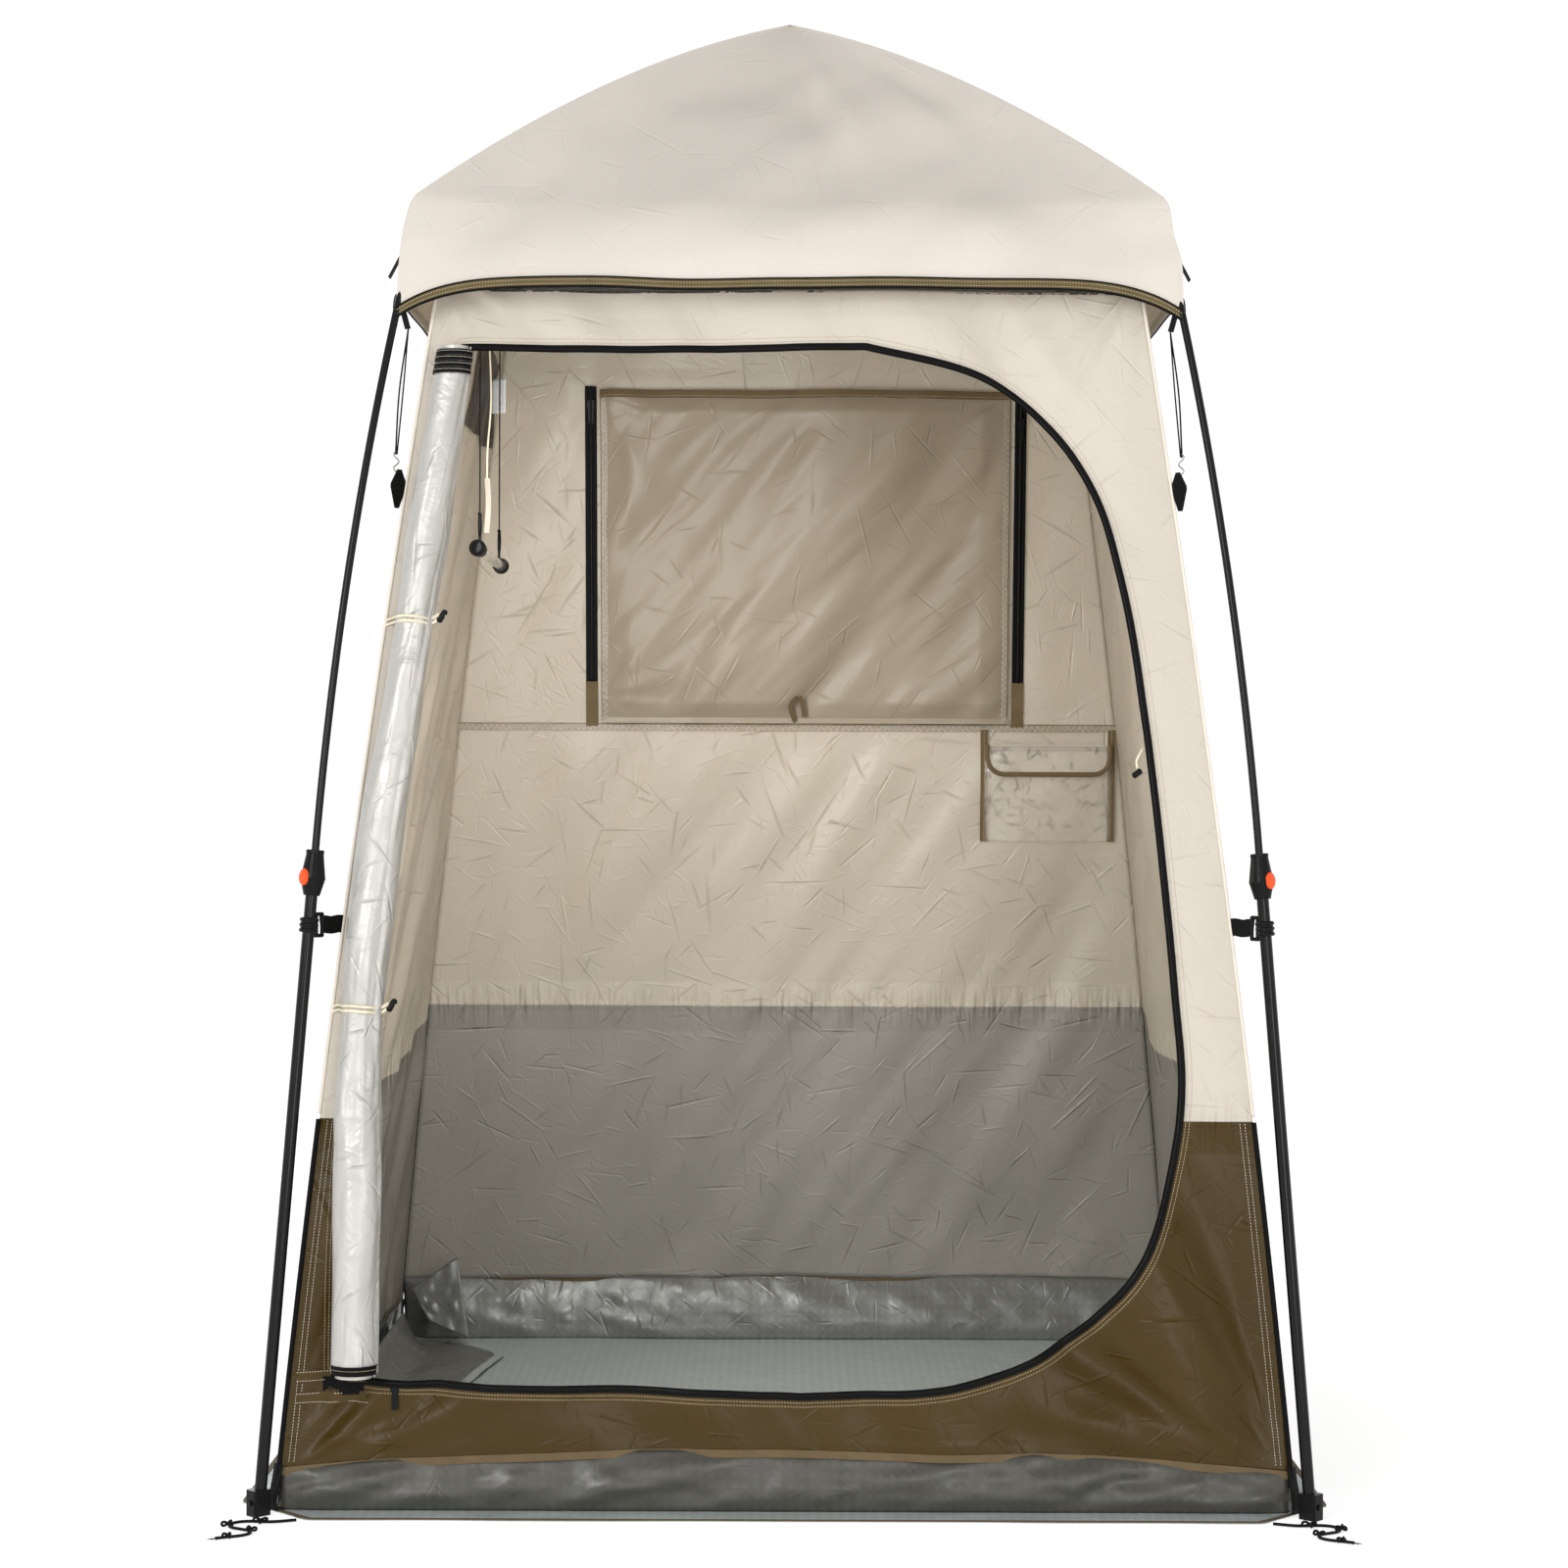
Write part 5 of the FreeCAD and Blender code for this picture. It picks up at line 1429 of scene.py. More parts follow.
def flap_fold(x, z):
    """The flap's own wrinkles, always inward of the wall behind."""
    share_x = (x - FLAP_LEFT) / (FLAP_RIGHT - FLAP_LEFT)
    share_z = (z - FLAP_LOW) / (FLAP_HIGH - FLAP_LOW)
    hold = np.clip(np.minimum(share_x, 1 - share_x) / 0.07, 0, 1)
    hold = hold * (0.1 + 0.9 * np.clip(np.minimum(share_z, 1 - share_z) / 0.06, 0, 1))
    folds = 0.014 * long_folds(x, z, 58, 0.5, 0.10, 90) + 0.004 * long_folds(x, z, 40, 0.25, 0.04, 94)
    return np.maximum(hold * (folds + fans(x, z, FLAP_FANS) + FLAP_SLACK), 0.0)


def rear_place(x, z, stand):
    """Points inside the rear wall, stand metres inward, seen as in the photograph: +x is right."""
    return on_wall(-np.asarray(x), z, wall_out("rear", -np.asarray(x), z) - CLOTH - stand, "rear")


def zigzag(count, size):
    """Sideways steps of a zigzag stitch."""
    return np.where(np.arange(count) % 2 == 0, -size, size)


def make_window():
    x, z = grid((FLAP_LEFT, FLAP_RIGHT, 150), (FLAP_LOW, FLAP_HIGH, 130))
    points = rear_place(x, z, FLAP_STAND + flap_fold(x, z))
    flap = cloth_sheet("window_cloth", points, FLAP_CLOTH, FLAP_CLOTH, np.stack([x, z], -1))
    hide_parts("window_flap")
    trim = join("window_trim", [*flap_sides(), *flap_bands(), flap_loop()])
    for piece in (flap, trim):
        carried(piece, "window_cover")
        gathers(piece)
    make_window_zips()
    make_middle_seam()
    make_screen()


def flap_sides():
    """A hem and a zigzag stitch up each side of the flap."""
    pieces = []
    for edge, way in ((FLAP_LEFT, 1), (FLAP_RIGHT, -1)):
        hem = edge + way * FLAP_HEM
        z = np.linspace(FLAP_LOW + 0.004, FLAP_HIGH - 0.004, 120)
        line = rear_place(hem + 0 * z, z, FLAP_STAND + 0.0022 + flap_fold(hem + 0 * z, z))
        pieces.append(ribbon(f"flap_side_{way}", line, [1, 0, 0], 0.011, 0.0008, FLAP_CLOTH))
        steps = zigzag(110, FLAP_TOOTH)
        z = np.linspace(FLAP_LOW + 0.006, FLAP_HIGH - 0.01, len(steps))
        line = rear_place(hem + steps, z, FLAP_STAND + 0.0042 + flap_fold(hem + 0 * z, z))
        pieces.append(tube(f"flap_zigzag_{way}", line, 0.0010, WHITE_THREAD, 4))
    return pieces


def flap_bands():
    """Stitched bands along the flap's top and bottom."""
    pieces = []
    x = np.linspace(FLAP_LEFT, FLAP_RIGHT, 120)
    for height, width, material in (
        (FLAP_HIGH - 0.004, 0.014, TAN_TAPE),
        (FLAP_LOW + 0.005, 0.010, FLAP_CLOTH),
    ):
        fold = FLAP_STAND + flap_fold(x, height)
        name = f"flap_band_{height:.2f}"
        pieces.append(ribbon(name, rear_place(x, height, fold + 0.003), [0, 0, 1], width, 0.0014, material))
        row = rear_place(x, height - 0.003, fold + 0.005)
        pieces.append(stitches(f"flap_band_stitch_{height:.2f}", row, INWARD, BROWN_THREAD))
    return pieces


def flap_loop():
    """The pull loop at the middle of the flap's foot."""
    middle = (FLAP_LEFT + FLAP_RIGHT) / 2 - 0.012
    spots = ((-0.004, 0.002, 0.014), (-0.012, 0.030, 0.026), (0.004, 0.046, 0.028), (0.012, 0.012, 0.020))
    loop = [rear_place(middle + x, FLAP_LOW + z, stand) for x, z, stand in spots]
    return ribbon("flap_loop", smooth3(loop, 0.004), [1, 0.3, 0], 0.008, 0.0012, TAN_TAPE)


def make_window_zips():
    """Black zips up both sides of the window, with tan tape below them down to the seam."""
    for name, x, high in ZIPS:
        z = np.linspace(ZIP_FOOT, high, 120)
        pieces = [ribbon("tape", rear_place(x + 0 * z, z, 0.0042), [1, 0, 0], 0.021, 0.0010, BLACK_TAPE)]
        pieces.append(tube("coil", rear_place(x + 0 * z, z, 0.0060), 0.0023, PLASTIC_BLACK, 8))
        for side in (-0.0075, 0.0075):
            pieces.append(tube("edge", rear_place(x + side + 0 * z, z, 0.0054), 0.0006, PLASTIC_BLACK, 5))
        z = np.linspace(FLAP_LOW - 0.006, ZIP_FOOT, 24)
        pieces.append(ribbon("tail", rear_place(x + 0 * z, z, 0.0040), [1, 0, 0], 0.022, 0.0010, TAN_TAPE))
        sewn(join(f"window_zip_{name}", pieces), "rear")


def make_middle_seam():
    """The zigzagged seam across the rear wall, under the window."""
    x = np.linspace(-MIDDLE_HALF, MIDDLE_HALF, 200)
    band = ribbon("middle_band", rear_place(x, MIDDLE_Z, 0.0016), [0, 0, 1], 0.014, 0.0010, FLAP_CLOTH)
    row = stitches("middle_stitch", rear_place(x, MIDDLE_Z - 0.0025, 0.0022), INWARD, BROWN_THREAD)
    steps = zigzag(220, MIDDLE_TOOTH)
    teeth = np.linspace(-MIDDLE_HALF, MIDDLE_HALF, len(steps))
    teeth = rear_place(teeth, MIDDLE_Z - 0.0015 + steps, 0.0030)
    teeth = tube("middle_zigzag", teeth, 0.0012, WHITE_THREAD, 4)
    fold = tube("middle_fold", rear_place(x, MIDDLE_Z + 0.0055, 0.0012), 0.0011, TAN_TAPE, 6)
    sewn(join("middle_seam", [band, row, teeth, fold]), "rear")


def make_screen():
    """The window outside: netting with a bound edge, over the flap."""
    x, z = grid((-WINDOW_LEFT, -WINDOW_RIGHT, 60), (WINDOW_LOW, WINDOW_HIGH, 50))
    net = {"thickness": 0.0005}
    uv = np.stack([x, z], -1)
    points = on_wall(x, z, wall_out("rear", x, z) + 0.0016, "rear")
    screen = cloth_sheet("window_screen", points, WINDOW_NET, WINDOW_NET, uv, flip=True, **net)
    corners = [(WINDOW_LEFT, WINDOW_LOW), (WINDOW_RIGHT, WINDOW_LOW)]
    corners += [(WINDOW_RIGHT, WINDOW_HIGH), (WINDOW_LEFT, WINDOW_HIGH)]
    bands = []
    for number, (first, last) in enumerate(zip(corners, corners[1:] + corners[:1])):
        line = resample([first, last], 0.01)
        across, height = -line[:, 0], line[:, 1]
        path = on_wall(across, height, wall_out("rear", across, height) + 0.0022, "rear")
        side = [0, 0, 1] if number % 2 == 0 else [1, 0, 0]
        for face in (0.001, -0.001):
            bands.append(ribbon(f"screen_band_{number}", path, side, 0.016, face, TAN_TAPE))
    edge = join("screen_frame", bands)
    points = rear_place(-x, z, 0.0012)
    backing = cloth_sheet("window_screen_inside", points, WINDOW_NET, WINDOW_NET, uv, **net)
    for piece in (backing, screen, edge):
        sewn(piece, "rear")


# ---------------------------------------------------------------- pocket
POCKET_LEFT, POCKET_RIGHT = 0.355, 0.585
POCKET_LOW, POCKET_HIGH = 0.915, 1.092
LID_LOW, LID_ROUND = 1.036, 0.030


def clear_sheet(name, x, z, stand):
    """A clear sheet inside the rear wall."""
    points = rear_place(x, z, stand)
    return cloth_sheet(name, points, CLEAR_VINYL, CLEAR_VINYL, np.stack([x, z], -1), thickness=0.0006)


def make_pocket():
    """Clear pocket hung on the rear wall: bulging front, tan side tapes and a bound rounded flap."""
    x, z = grid((POCKET_LEFT, POCKET_RIGHT, 60), (POCKET_LOW, POCKET_HIGH - 0.006, 44))
    share = (x - POCKET_LEFT) / (POCKET_RIGHT - POCKET_LEFT)
    rise = (z - POCKET_LOW) / (POCKET_HIGH - POCKET_LOW)
    belly = 0.003 + 0.013 * np.sin(share * math.pi) ** 0.6 * np.clip(rise * 2.2, 0, 1)
    belly += 0.002 * soft_noise(x * 26, z * 20, 100) * np.sin(share * math.pi)
    front = clear_sheet("pocket_front", x, z, belly + 0.004)
    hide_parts("pocket")
    tapes = []
    z = np.linspace(POCKET_LOW, POCKET_HIGH + 0.024, 40)
    for edge in (POCKET_LEFT, POCKET_RIGHT):
        tape_line, stitch_line = (rear_place(edge + 0 * z, z, stand) for stand in (0.0072, 0.0086))
        tapes.append(ribbon("side_tape", tape_line, [1, 0, 0], 0.013, 0.0012, TAN_TAPE))
        tapes.append(stitches("side_stitch", stitch_line, INWARD, BROWN_THREAD))
    line = rear_place(np.linspace(POCKET_LEFT, POCKET_RIGHT, 60), POCKET_HIGH - 0.010, 0.0085)
    tapes.append(ribbon("pocket_top", line, [0, 0, 1], 0.010, 0.0012, TAN_TAPE))
    trim = join("pocket_trim", tapes)
    for piece in (front, trim):
        sewn(piece, "rear")
    make_pocket_flap()


def make_pocket_flap():
    """The pocket's lid: clear sheet with rounded lower corners and a tan bound edge."""
    left, right, top = POCKET_LEFT + 0.004, POCKET_RIGHT - 0.004, POCKET_HIGH - 0.002
    x = np.linspace(left, right, 60)
    inset = np.maximum(LID_ROUND - np.minimum(x - left, right - x), 0)
    drop = np.where(inset > 0, LID_ROUND - np.sqrt(np.clip(LID_ROUND**2 - inset**2, 0, None)), 0)
    low = LID_LOW + drop
    rows = np.linspace(0, 1, 16)[:, None]
    z = low[None, :] + (top - low[None, :]) * rows
    xx = np.broadcast_to(x, z.shape)
    stand = 0.024 - 0.004 * rows + 0.0015 * soft_noise(xx * 20, z * 16, 101)
    lid = clear_sheet("pocket_lid", xx, z, stand)
    edge = np.concatenate([[(left, top)], np.stack([x, low], -1), [(right, top)]])
    edge = resample(edge, 0.004)
    path = rear_place(edge[:, 0], edge[:, 1], 0.0255)
    binding = tube("pocket_lid_binding", path, 0.0042, TAN_TAPE, 8, up=(0, 1, 0), flat=0.4)
    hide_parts("pocket_flap")
    for piece in (lid, binding):
        carried(piece, "pocket_lid")
        gathers(piece)


# ---------------------------------------------------------------- rail straps, hose cord, label, side vent
RAIL_X, RAIL_Z = -0.487, 1.385
RAIL_ENDS = (-0.120, 0.220)
HOOK_Z = RAIL_Z + 0.052
STRAP_TOP = 1.745
HANG_Y = 0.03
HANG_CORD = ((0, 0, 1.735), (0.003, 0, 1.64), (-0.002, -0.004, 1.56), (-0.003, 0, 1.510))
HANG_STRAP = ((-0.003, 0, 1.512), (-0.001, -0.002, 1.47), (-0.004, 0.002, 1.424))
VENT_LEFT, VENT_RIGHT, VENT_LOW, VENT_HIGH = -0.42, -0.04, 1.600, 1.748
LABEL_LOW, LABEL_HIGH = 1.648, 1.708
LABEL_SIZE = (0.034, 0.06)
LABEL_PLACE = (-0.508, 0.30)


def make_rail():
    """Snap hooks and straps that carry the rail; the tube and caps are CAD pieces."""
    pieces = []
    for y in RAIL_ENDS:
        ends = np.array([(RAIL_X, y, RAIL_Z + 0.048), (RAIL_X, y, STRAP_TOP)])
        strap = ribbon("rail_strap", resample(ends, 0.01), [0, 1, 0], 0.0125, 0.0014, BLACK_WEBBING, -0.0007)
        ring = []
        for angle in np.linspace(0, TURN, 28):
            ring.append((RAIL_X, y + 0.0085 * math.cos(angle), HOOK_Z - 0.014 + 0.0165 * math.sin(angle)))
        ring = tube("snap_ring", ring, 0.0021, PLASTIC_BLACK, 8, up=(1, 0, 0), caps=False)
        gate = [(RAIL_X, y, HOOK_Z + 0.006), (RAIL_X + 0.001, y, HOOK_Z - 0.012)]
        gate = smooth3([*gate, (RAIL_X, y + 0.002, HOOK_Z - 0.028)], 0.003)
        gate = tube("snap_gate", gate, 0.0024, PLASTIC_BLACK, 8, up=(1, 0, 0))
        bar = [(RAIL_X, y - 0.009, HOOK_Z + 0.004), (RAIL_X, y + 0.009, HOOK_Z + 0.004)]
        pieces += [strap, ring, gate, tube("snap_bar", bar, 0.0028, PLASTIC_BLACK, 8, up=(1, 0, 0))]
    straps = join("rail_hangers", pieces)
    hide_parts("rail_straps")
    carried(straps, "rail")


def make_hanger():
    """A thin cream cord that ends in a clear strap, by the left wall."""
    place = np.array([RAIL_X, HANG_Y, 0])
    line = tube("hang_cord", smooth3(place + np.array(HANG_CORD), 0.01), 0.0016, CREAM_ELASTIC, 8)
    path = smooth3(place + np.array(HANG_STRAP), 0.006)
    strap = ribbon("hang_strap", path, [0.8, 0.6, 0], 0.010, 0.0012, CLEAR_TUBE)
    sewn(join("wall_hanger", [line, strap]), "left")


def make_label():
    """A blank care label on the left wall."""
    x, z = grid((0, LABEL_SIZE[0], 8), (LABEL_LOW, LABEL_HIGH, 12))
    curl = 0.006 * np.sin((LABEL_HIGH - z) * 28) + x * 0.5
    points = np.stack([LABEL_PLACE[0] + x * 0.75, LABEL_PLACE[1] - curl, z], -1)
    uv = np.stack([x, z], -1)
    label = cloth_sheet("care_label", points, PLASTIC_WHITE, PLASTIC_WHITE, uv, thickness=0.0004)
    sewn(label, "left")


def make_side_vent():
    """The dark vent inside the left wall, near its top."""
    across, z = grid((VENT_LEFT, VENT_RIGHT, 50), (VENT_LOW, VENT_HIGH, 20))
    points = on_wall(across, z, wall_out("left", across, z) - CLOTH - 0.0045, "left")
    uv = np.stack([across, z], -1)
    vent = cloth_sheet("side_vent", points, VENT_CLOTH, VENT_CLOTH, uv, thickness=0.0005)
    sewn(vent, "left")


FOLD_CORNERS = (
    (-0.675, 0.603, 0.102),
    (-0.592, 0.608, 0.160),
    (-0.640, 0.575, 0.050),
    (-0.565, 0.548, 0.022),
)


def make_corner_fold():
    """The pointed fold of the skirt's slack in the rear left corner."""
    ends = np.array(FOLD_CORNERS)
    u, v = grid((0, 1, 26), (0, 1, 26))
    u, v = u[..., None], v[..., None]
    points = (ends[0] * (1 - u) + ends[1] * u) * (1 - v) + (ends[2] * (1 - u) + ends[3] * u) * v
    rumple = soft_noise(u[..., 0] * 6 + v[..., 0], v[..., 0] * 5, 111)
    points = points + 0.003 * rumple[..., None] * np.array([0, -1, 0.4])
    fold = cloth_sheet("skirt_corner_fold", points, SKIRT_SHEET, SKIRT_SHEET, points[..., [0, 2]])
    sewn(fold, "left")
    sheet_area(points)


# ---------------------------------------------------------------- corner ties
CLIP_Z = 0.816
CLIP_INNER, CLIP_OUTER, CLIP_HALF = 0.0089, 0.0122, 0.0105
CLIP_RIDGES = (-0.0075, 0.0, 0.0075)
CLIP_SIDES = 40
LEAN_IN = math.tan(LEG_LEAN)
TAB_Z, TAB_HEIGHT = 1.470, 0.058
STRAP_DROP = (0.066, 0.045, 0.018, 0.004, 0.0035)
WEBBING_WIDTH = 0.025
ROD_RADIUS = 0.0055
HOOK_LEVEL = 1.489
HEM_TAB, ELASTIC_TOP = (0.788, 1.700), (0.778, 1.672)  # distance from the middle, height


def leg_radius(z):
    return FOOT_RADIUS - LEAN_IN * z


def at_corner(corner, radius, across, z):
    radius, across, z = np.broadcast_arrays(*(np.asarray(v, float) for v in (radius, across, z)))
    return turned(np.stack([radius, across, z], -1), CORNERS[corner])


def make_corner_tie(corner):
    """Pole clip and webbing, ground strap, and the elastic with its hook and tab."""
    out_way, across_way = (turned(way, CORNERS[corner]) for way in ([1, 0, 0], [0, 1, 0]))
    reach = np.linspace(cabin_half(CLIP_Z) * ROOT2 + 0.002, leg_radius(CLIP_Z) - CLIP_OUTER - 0.0075, 14)
    path = at_corner(corner, reach, 0, CLIP_Z + 0.0008 * np.sin(np.linspace(0, 9, 14)))
    webbing_piece = ribbon("tie_webbing", path, [0, 0, 1], WEBBING_WIDTH, 0.0016, BLACK_WEBBING, -0.0008)
    tie = join(f"pole_tie_{corner}", [make_clip(corner), webbing_piece])
    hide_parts(f"corner_tie_{corner}")
    top, low = cabin_half(0.07) * ROOT2 + 0.002, cabin_half(0.01) * ROOT2 + 0.001
    path = at_corner(corner, np.array([top, top + 0.004, low + 0.003, low, low - 0.02]), 0, STRAP_DROP)
    path = smooth3(path, 0.004)
    strap = ribbon(f"ground_strap_{corner}", path, across_way, 0.018, 0.0016, BLACK_WEBBING)
    for piece in (tie, strap, make_elastic(corner, out_way, across_way)):
        carried(piece, f"leg_{corner}")


def make_clip(corner):
    """A ribbed C-shaped clip on the tube with a slot bar for the webbing."""
    profile = [(-CLIP_HALF, CLIP_OUTER - 0.0012)]
    for ridge in CLIP_RIDGES:
        for step, rise in ((-0.0026, -0.0004), (-0.0014, 0.0012), (0.0014, 0.0012), (0.0026, -0.0004)):
            profile.append((ridge + step, CLIP_OUTER + rise))
    profile += [(CLIP_HALF, CLIP_OUTER - 0.0012), (CLIP_HALF, CLIP_INNER), (-CLIP_HALF, CLIP_INNER)]
    turns = np.linspace(0, TURN, CLIP_SIDES, endpoint=False)
    rows = []
    for height, radius in profile + profile[:1]:
        radial = leg_radius(CLIP_Z + height) + radius * np.cos(turns)
        level = CLIP_Z + height + radius * np.cos(turns) * LEAN_IN
        rows.append(at_corner(corner, radial, radius * np.sin(turns), level))
    faces = grid_faces(len(rows), CLIP_SIDES, closed=True)
    bars = [new_mesh("clip_ring", np.array(rows), faces, [PLASTIC_BLACK])]
    inner = leg_radius(CLIP_Z) - CLIP_OUTER
    for radius, half in ((inner - 0.0005, 0.0150), (inner - 0.0105, 0.0165)):
        path = at_corner(corner, radius, 0, CLIP_Z + np.linspace(-half, half, 9))
        bars.append(tube("clip_bar", path, 0.0028, PLASTIC_BLACK, 10, up=(0.3, 0.9, 0)))
    for edge in (-0.0152, 0.0152):
        path = at_corner(corner, np.linspace(inner - 0.011, inner + 0.002, 5), 0, CLIP_Z + edge)
        bars.append(tube("clip_end", path, 0.0028, PLASTIC_BLACK, 10))
    return join("clip", bars)


def make_elastic(corner, out_way, across_way):
    """Webbing from the hem, two strands of elastic, an S hook and a pointed tab on the wall."""
    hook = at_corner(corner, cabin_half(TAB_Z) * ROOT2 + 0.024, 0, HOOK_LEVEL)
    top = at_corner(corner, ELASTIC_TOP[0], 0, ELASTIC_TOP[1])
    hem = at_corner(corner, HEM_TAB[0], 0, HEM_TAB[1])
    pieces = [ribbon("hem_loop", resample([hem, top], 0.004), across_way, 0.012, 0.0014, BLACK_WEBBING)]
    for side in (-0.0032, 0.0032):
        sway = across_way * side
        path = smooth3([top, (top + hook) / 2 + sway * 1.4 + out_way * 0.002, hook + sway * 0.5], 0.012)
        pieces.append(tube("elastic", path, 0.0013, CORD_BLACK, 6))
    share = np.linspace(0, 1, 34)[:, None]
    bend = out_way * 0.0048 * np.sin(share * TURN * 1.5)
    s_path = hook + bend + np.array([0, 0, 1]) * (0.005 - 0.030 * share)
    pieces.append(tube("s_hook", s_path, 0.0011, STEEL, 8, up=(1, 0.2, 0)))
    high = at_corner(corner, cabin_half(TAB_Z) * ROOT2 + 0.018, 0, TAB_Z - 0.002)
    low = at_corner(corner, cabin_half(TAB_Z - TAB_HEIGHT) * ROOT2 + 0.012, 0, TAB_Z - TAB_HEIGHT)
    rows = []
    for share in np.linspace(0, 1, 12):
        half = 0.0035 + 0.011 * min(share / 0.4, (1 - share) / 0.6)
        middle = high * (1 - share) + low * share
        rows.append([middle + out_way * half * s for s in np.linspace(-1, 1, 5)])
    pieces.append(thick_sheet("tie_tab", np.array(rows), across_way, 0.0022, BLACK_WEBBING))
    return join(f"shock_cord_{corner}", pieces)


def thick_sheet(name, points, normal, thickness, material):
    """A closed flat piece from rows of points, thickened both ways along its normal."""
    rows, columns = points.shape[:2]
    count = rows * columns
    faces = grid_faces(rows, columns)
    faces += [tuple(count + v for v in face) for face in grid_faces(rows, columns, flip=True)]
    edge = [*range(columns), *(r * columns + columns - 1 for r in range(1, rows))]
    edge += [(rows - 1) * columns + c for c in range(columns - 2, -1, -1)]
    edge += [r * columns for r in range(rows - 2, 0, -1)]
    faces += [(b, a, count + a, count + b) for a, b in zip(edge, edge[1:] + edge[:1])]
    both = np.concatenate([(points + normal * way * thickness / 2).reshape(-1, 3) for way in (1, -1)])
    return new_mesh(name, both, faces, [material], np.zeros((2 * count, 2)), smooth=False)


# ---------------------------------------------------------------- upper rods
def make_upper_rod(corner):
    """The bowed rod, with a short straight end that reaches down into its tube."""
    way = np.array([-math.sin(LEG_LEAN), math.cos(LEG_LEAN)])
    out = np.array([way[1], -way[0]])
    start = np.array([FOOT_RADIUS, 0.0]) + way * CONNECTOR_TOP
    chord = np.array(ROD_TOP) - start
    half_turn = math.atan2(-chord @ out, chord @ way)
    radius = np.linalg.norm(chord) / (2 * math.sin(half_turn))
    angle = np.linspace(0, 2 * half_turn, 60)[:, None]
    arc = start + radius * (np.sin(angle) * way - (1 - np.cos(angle)) * out)
    straight = start + way * np.linspace(-0.10, -0.01, 6)[:, None]
    line = np.concatenate([straight, arc])
    path = at_corner(corner, line[:, 0], 0, line[:, 1])
    rod = tube(f"bowed_rod_{corner}", path, ROD_RADIUS, ROD_BLACK, 20)
    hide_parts(f"upper_rod_{corner}")
    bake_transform(rod)


# ---------------------------------------------------------------- ground sheet and the skirt's inner flap
SHEET_HALF = 0.765
SHEET_CHAMFER = 0.105
FLAP_ROOT, FLAP_REACH = -0.688, -0.545  # across the tent: the inner flap's root and its edge


def make_ground_sheet():
    """Woven tarpaulin laid on the ground, a little rumpled, with a bound edge."""
    x, y = np.meshgrid(np.linspace(-1, 1, 121), np.linspace(-1, 1, 121))
    limit = 2 - SHEET_CHAMFER / SHEET_HALF
    over = np.abs(x) + np.abs(y)
    pull = np.where(over > limit, limit / np.maximum(over, 1e-9), 1)
    x, y = x * pull * SHEET_HALF, y * pull * SHEET_HALF
    edge = np.clip((SHEET_HALF - np.maximum(np.abs(x), np.abs(y))) / 0.05, 0, 1)
    z = 0.0011 + 0.0007 * (1 + soft_noise(x * 8 + 20, y * 8 + 20, 110))
    z = z + 0.0014 * (1 + soft_noise(x * 2.6 + y * 1.5 + 9, y * 3 + 9, 111)) * edge
    uv = np.stack([x, y], -1)
    laid = cloth_sheet("ground_cloth", np.stack([x, y, z], -1), GROUND_SHEET, GROUND_SHEET, uv)
    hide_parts("ground_sheet")
    h, c = SHEET_HALF - 0.004, SHEET_CHAMFER
    corners = [(h, h - c), (h - c, h), (c - h, h), (-h, h - c), (-h, c - h), (c - h, -h), (h - c, -h)]
    corners += [(h, c - h), corners[0]]
    path = resample([(px, py, 0.0030) for px, py in corners], 0.012)
    across = np.cross(path_frames(path), [0, 0, 1])
    binding = ribbon("ground_binding", path, across, 0.008, 0.0010, TAN_TAPE)
    for piece in (laid, binding):
        carried(piece, "groundsheet")


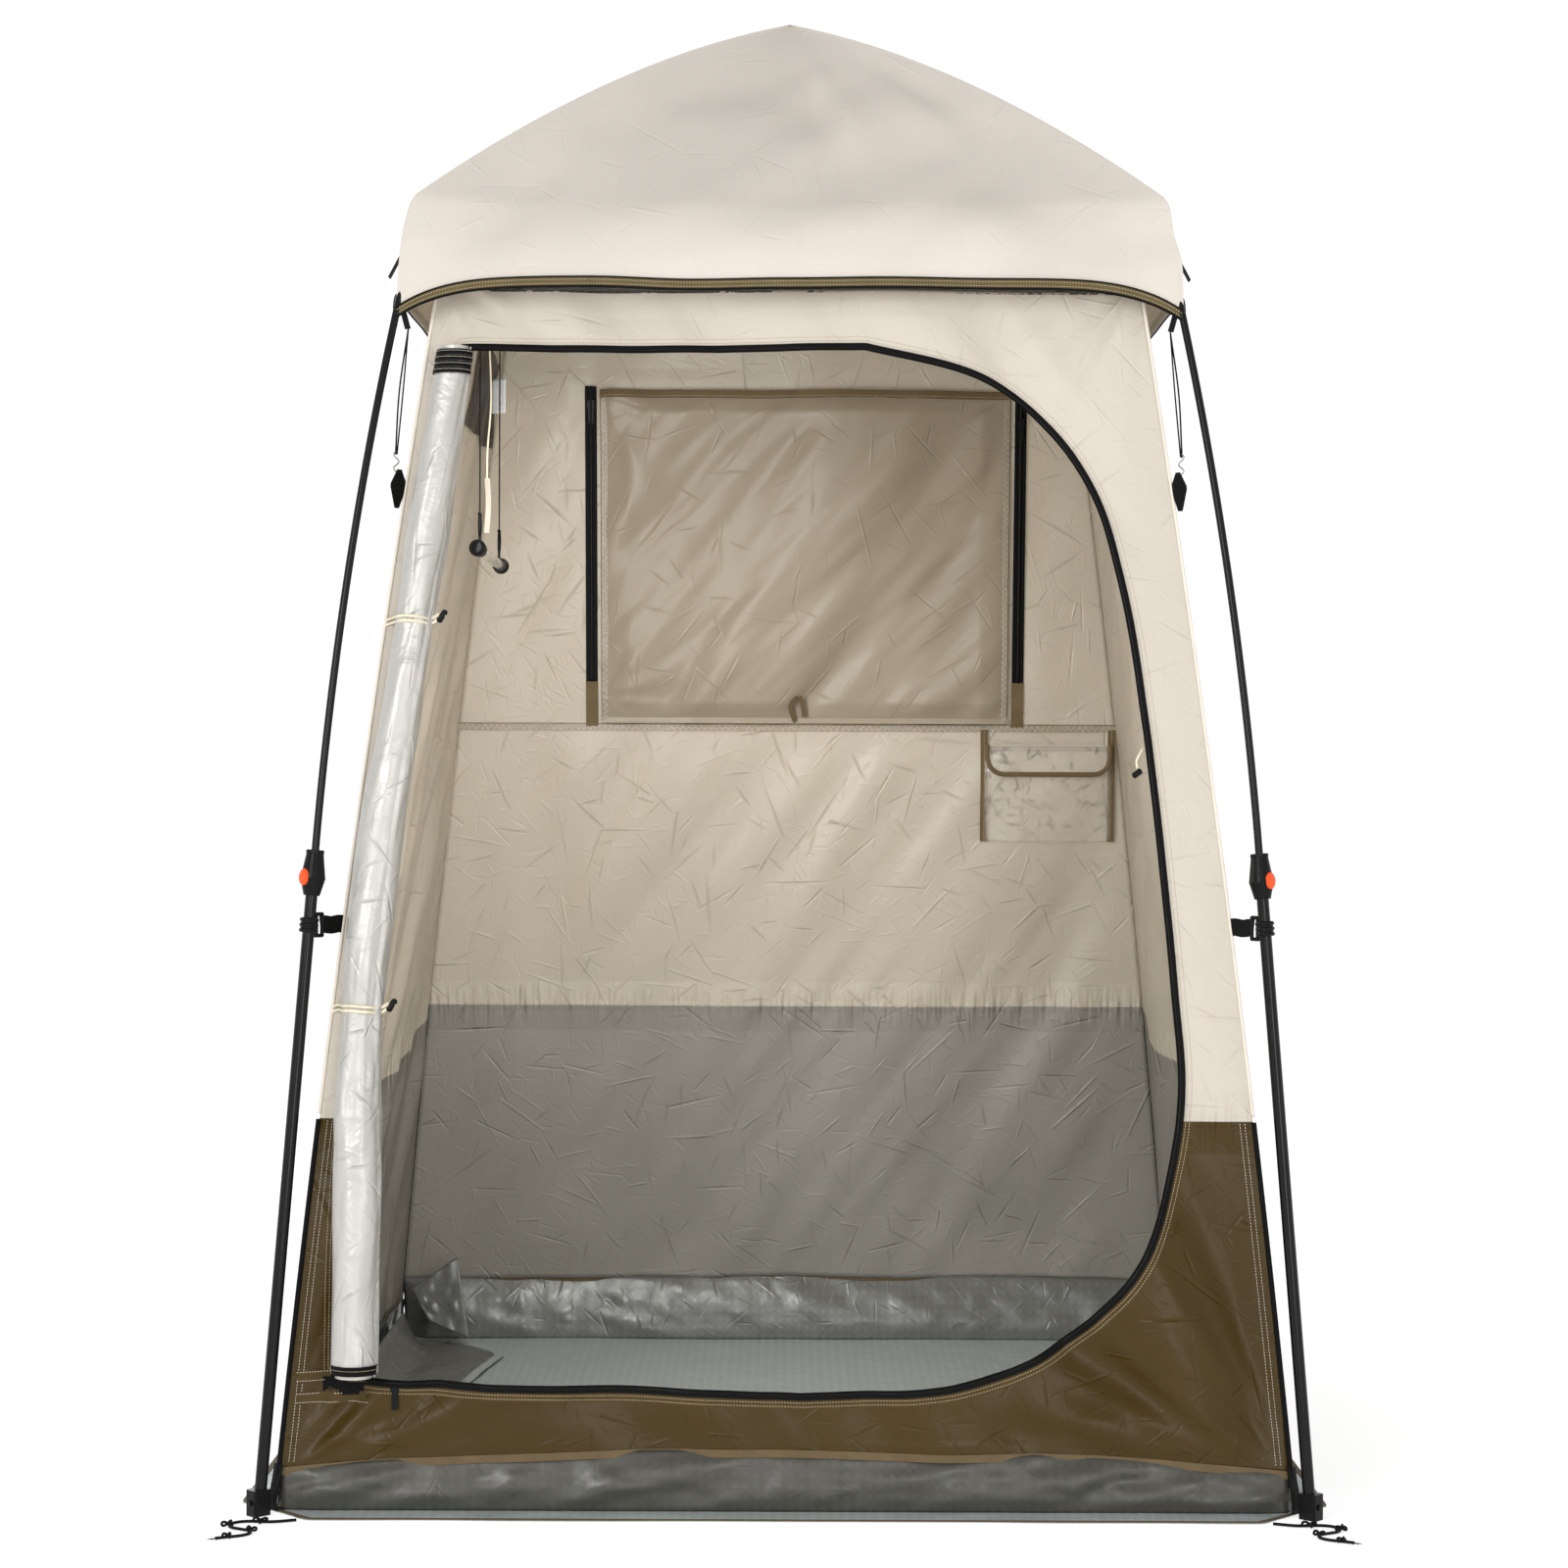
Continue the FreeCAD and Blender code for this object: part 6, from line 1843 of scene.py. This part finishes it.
def make_inner_flap():
    """The left skirt's wide inner flap: it lies on the ground sheet, with a pointed fold at the rear."""
    y, out = grid((-0.66, 0.60, 120), (0, 1, 26))
    reach = FLAP_REACH + 0.055 * np.clip((y - 0.1) / 0.4, 0, 1)
    reach = reach - 0.10 * np.clip((y - 0.46) / 0.14, 0, 1) ** 1.5 - 0.05 * np.clip((-0.45 - y) / 0.2, 0, 1)
    x = FLAP_ROOT + (reach - FLAP_ROOT) * out
    z = 0.0062 + 0.055 * (1 - np.clip(out / 0.3, 0, 1)) ** 1.6
    z = z + 0.0025 * (1 + soft_noise(y * 13 + 20, out * 4, 120)) * np.clip(out * 4, 0.2, 1)
    points = np.stack([x, y, z], -1)
    flap = cloth_sheet("inner_flap_left", points, SKIRT_SHEET, SKIRT_SHEET, points[..., :2], flip=True)
    edge = points[-1] + np.array([-0.008, 0, 0.0012])
    hem = ribbon("inner_flap_hem", edge, [1, 0, 0], 0.016, 0.0012, GROUND_SHEET)
    row = stitches("inner_flap_stitch", edge + np.array([0.004, 0, 0.0014]), [0, 0, 1], WHITE_THREAD)
    for piece in (flap, join("inner_flap_trim", [hem, row])):
        sewn(piece, "left")
    sheet_area(points)


# ---------------------------------------------------------------- finishes of the CAD pieces
CAD_FINISH = {
    "hub_block": PLASTIC_BLACK,
    "hub_pins": STEEL,
    "rib_rod": ROD_BLACK,
    "rib_fittings": PLASTIC_BLACK,
    "knuckle": PLASTIC_BLACK,
    "lower_tube": TUBE_BLACK,
    "connector": PLASTIC_BLACK,
    "foot": PLASTIC_BLACK,
    "button": PLASTIC_ORANGE,
    "door_slider": PLASTIC_BLACK,
    "window_slider": PLASTIC_BLACK,
    "rail_tube": CLEAR_TUBE,
    "rail_caps": PLASTIC_BLACK,
}


def finish_cad_nodes():
    for name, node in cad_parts.items():
        for start, finish in CAD_FINISH.items():
            if name.startswith(start) and not node.hide_render:
                node.data.materials.clear()
                node.data.materials.append(finish)


make_camera()
make_light()
make_floor()
for corner, mirror in (("fl", 1), ("fr", -1)):
    make_stake_cord(corner, mirror)
make_front_wall()
for side in ("right", "rear", "left"):
    make_plain_wall(side)
make_vent()
make_welts()
make_wall_trims()
make_skirts()
make_fly()
make_guy_tabs()
make_door_edge()
make_door_roll()
make_roll_ties()
make_spare_tie()
make_window()
make_pocket()
make_rail()
make_hanger()
make_label()
make_side_vent()
for corner in CORNERS:
    make_corner_tie(corner)
    make_upper_rod(corner)
make_ground_sheet()
make_corner_fold()
make_inner_flap()
finish_cad_nodes()
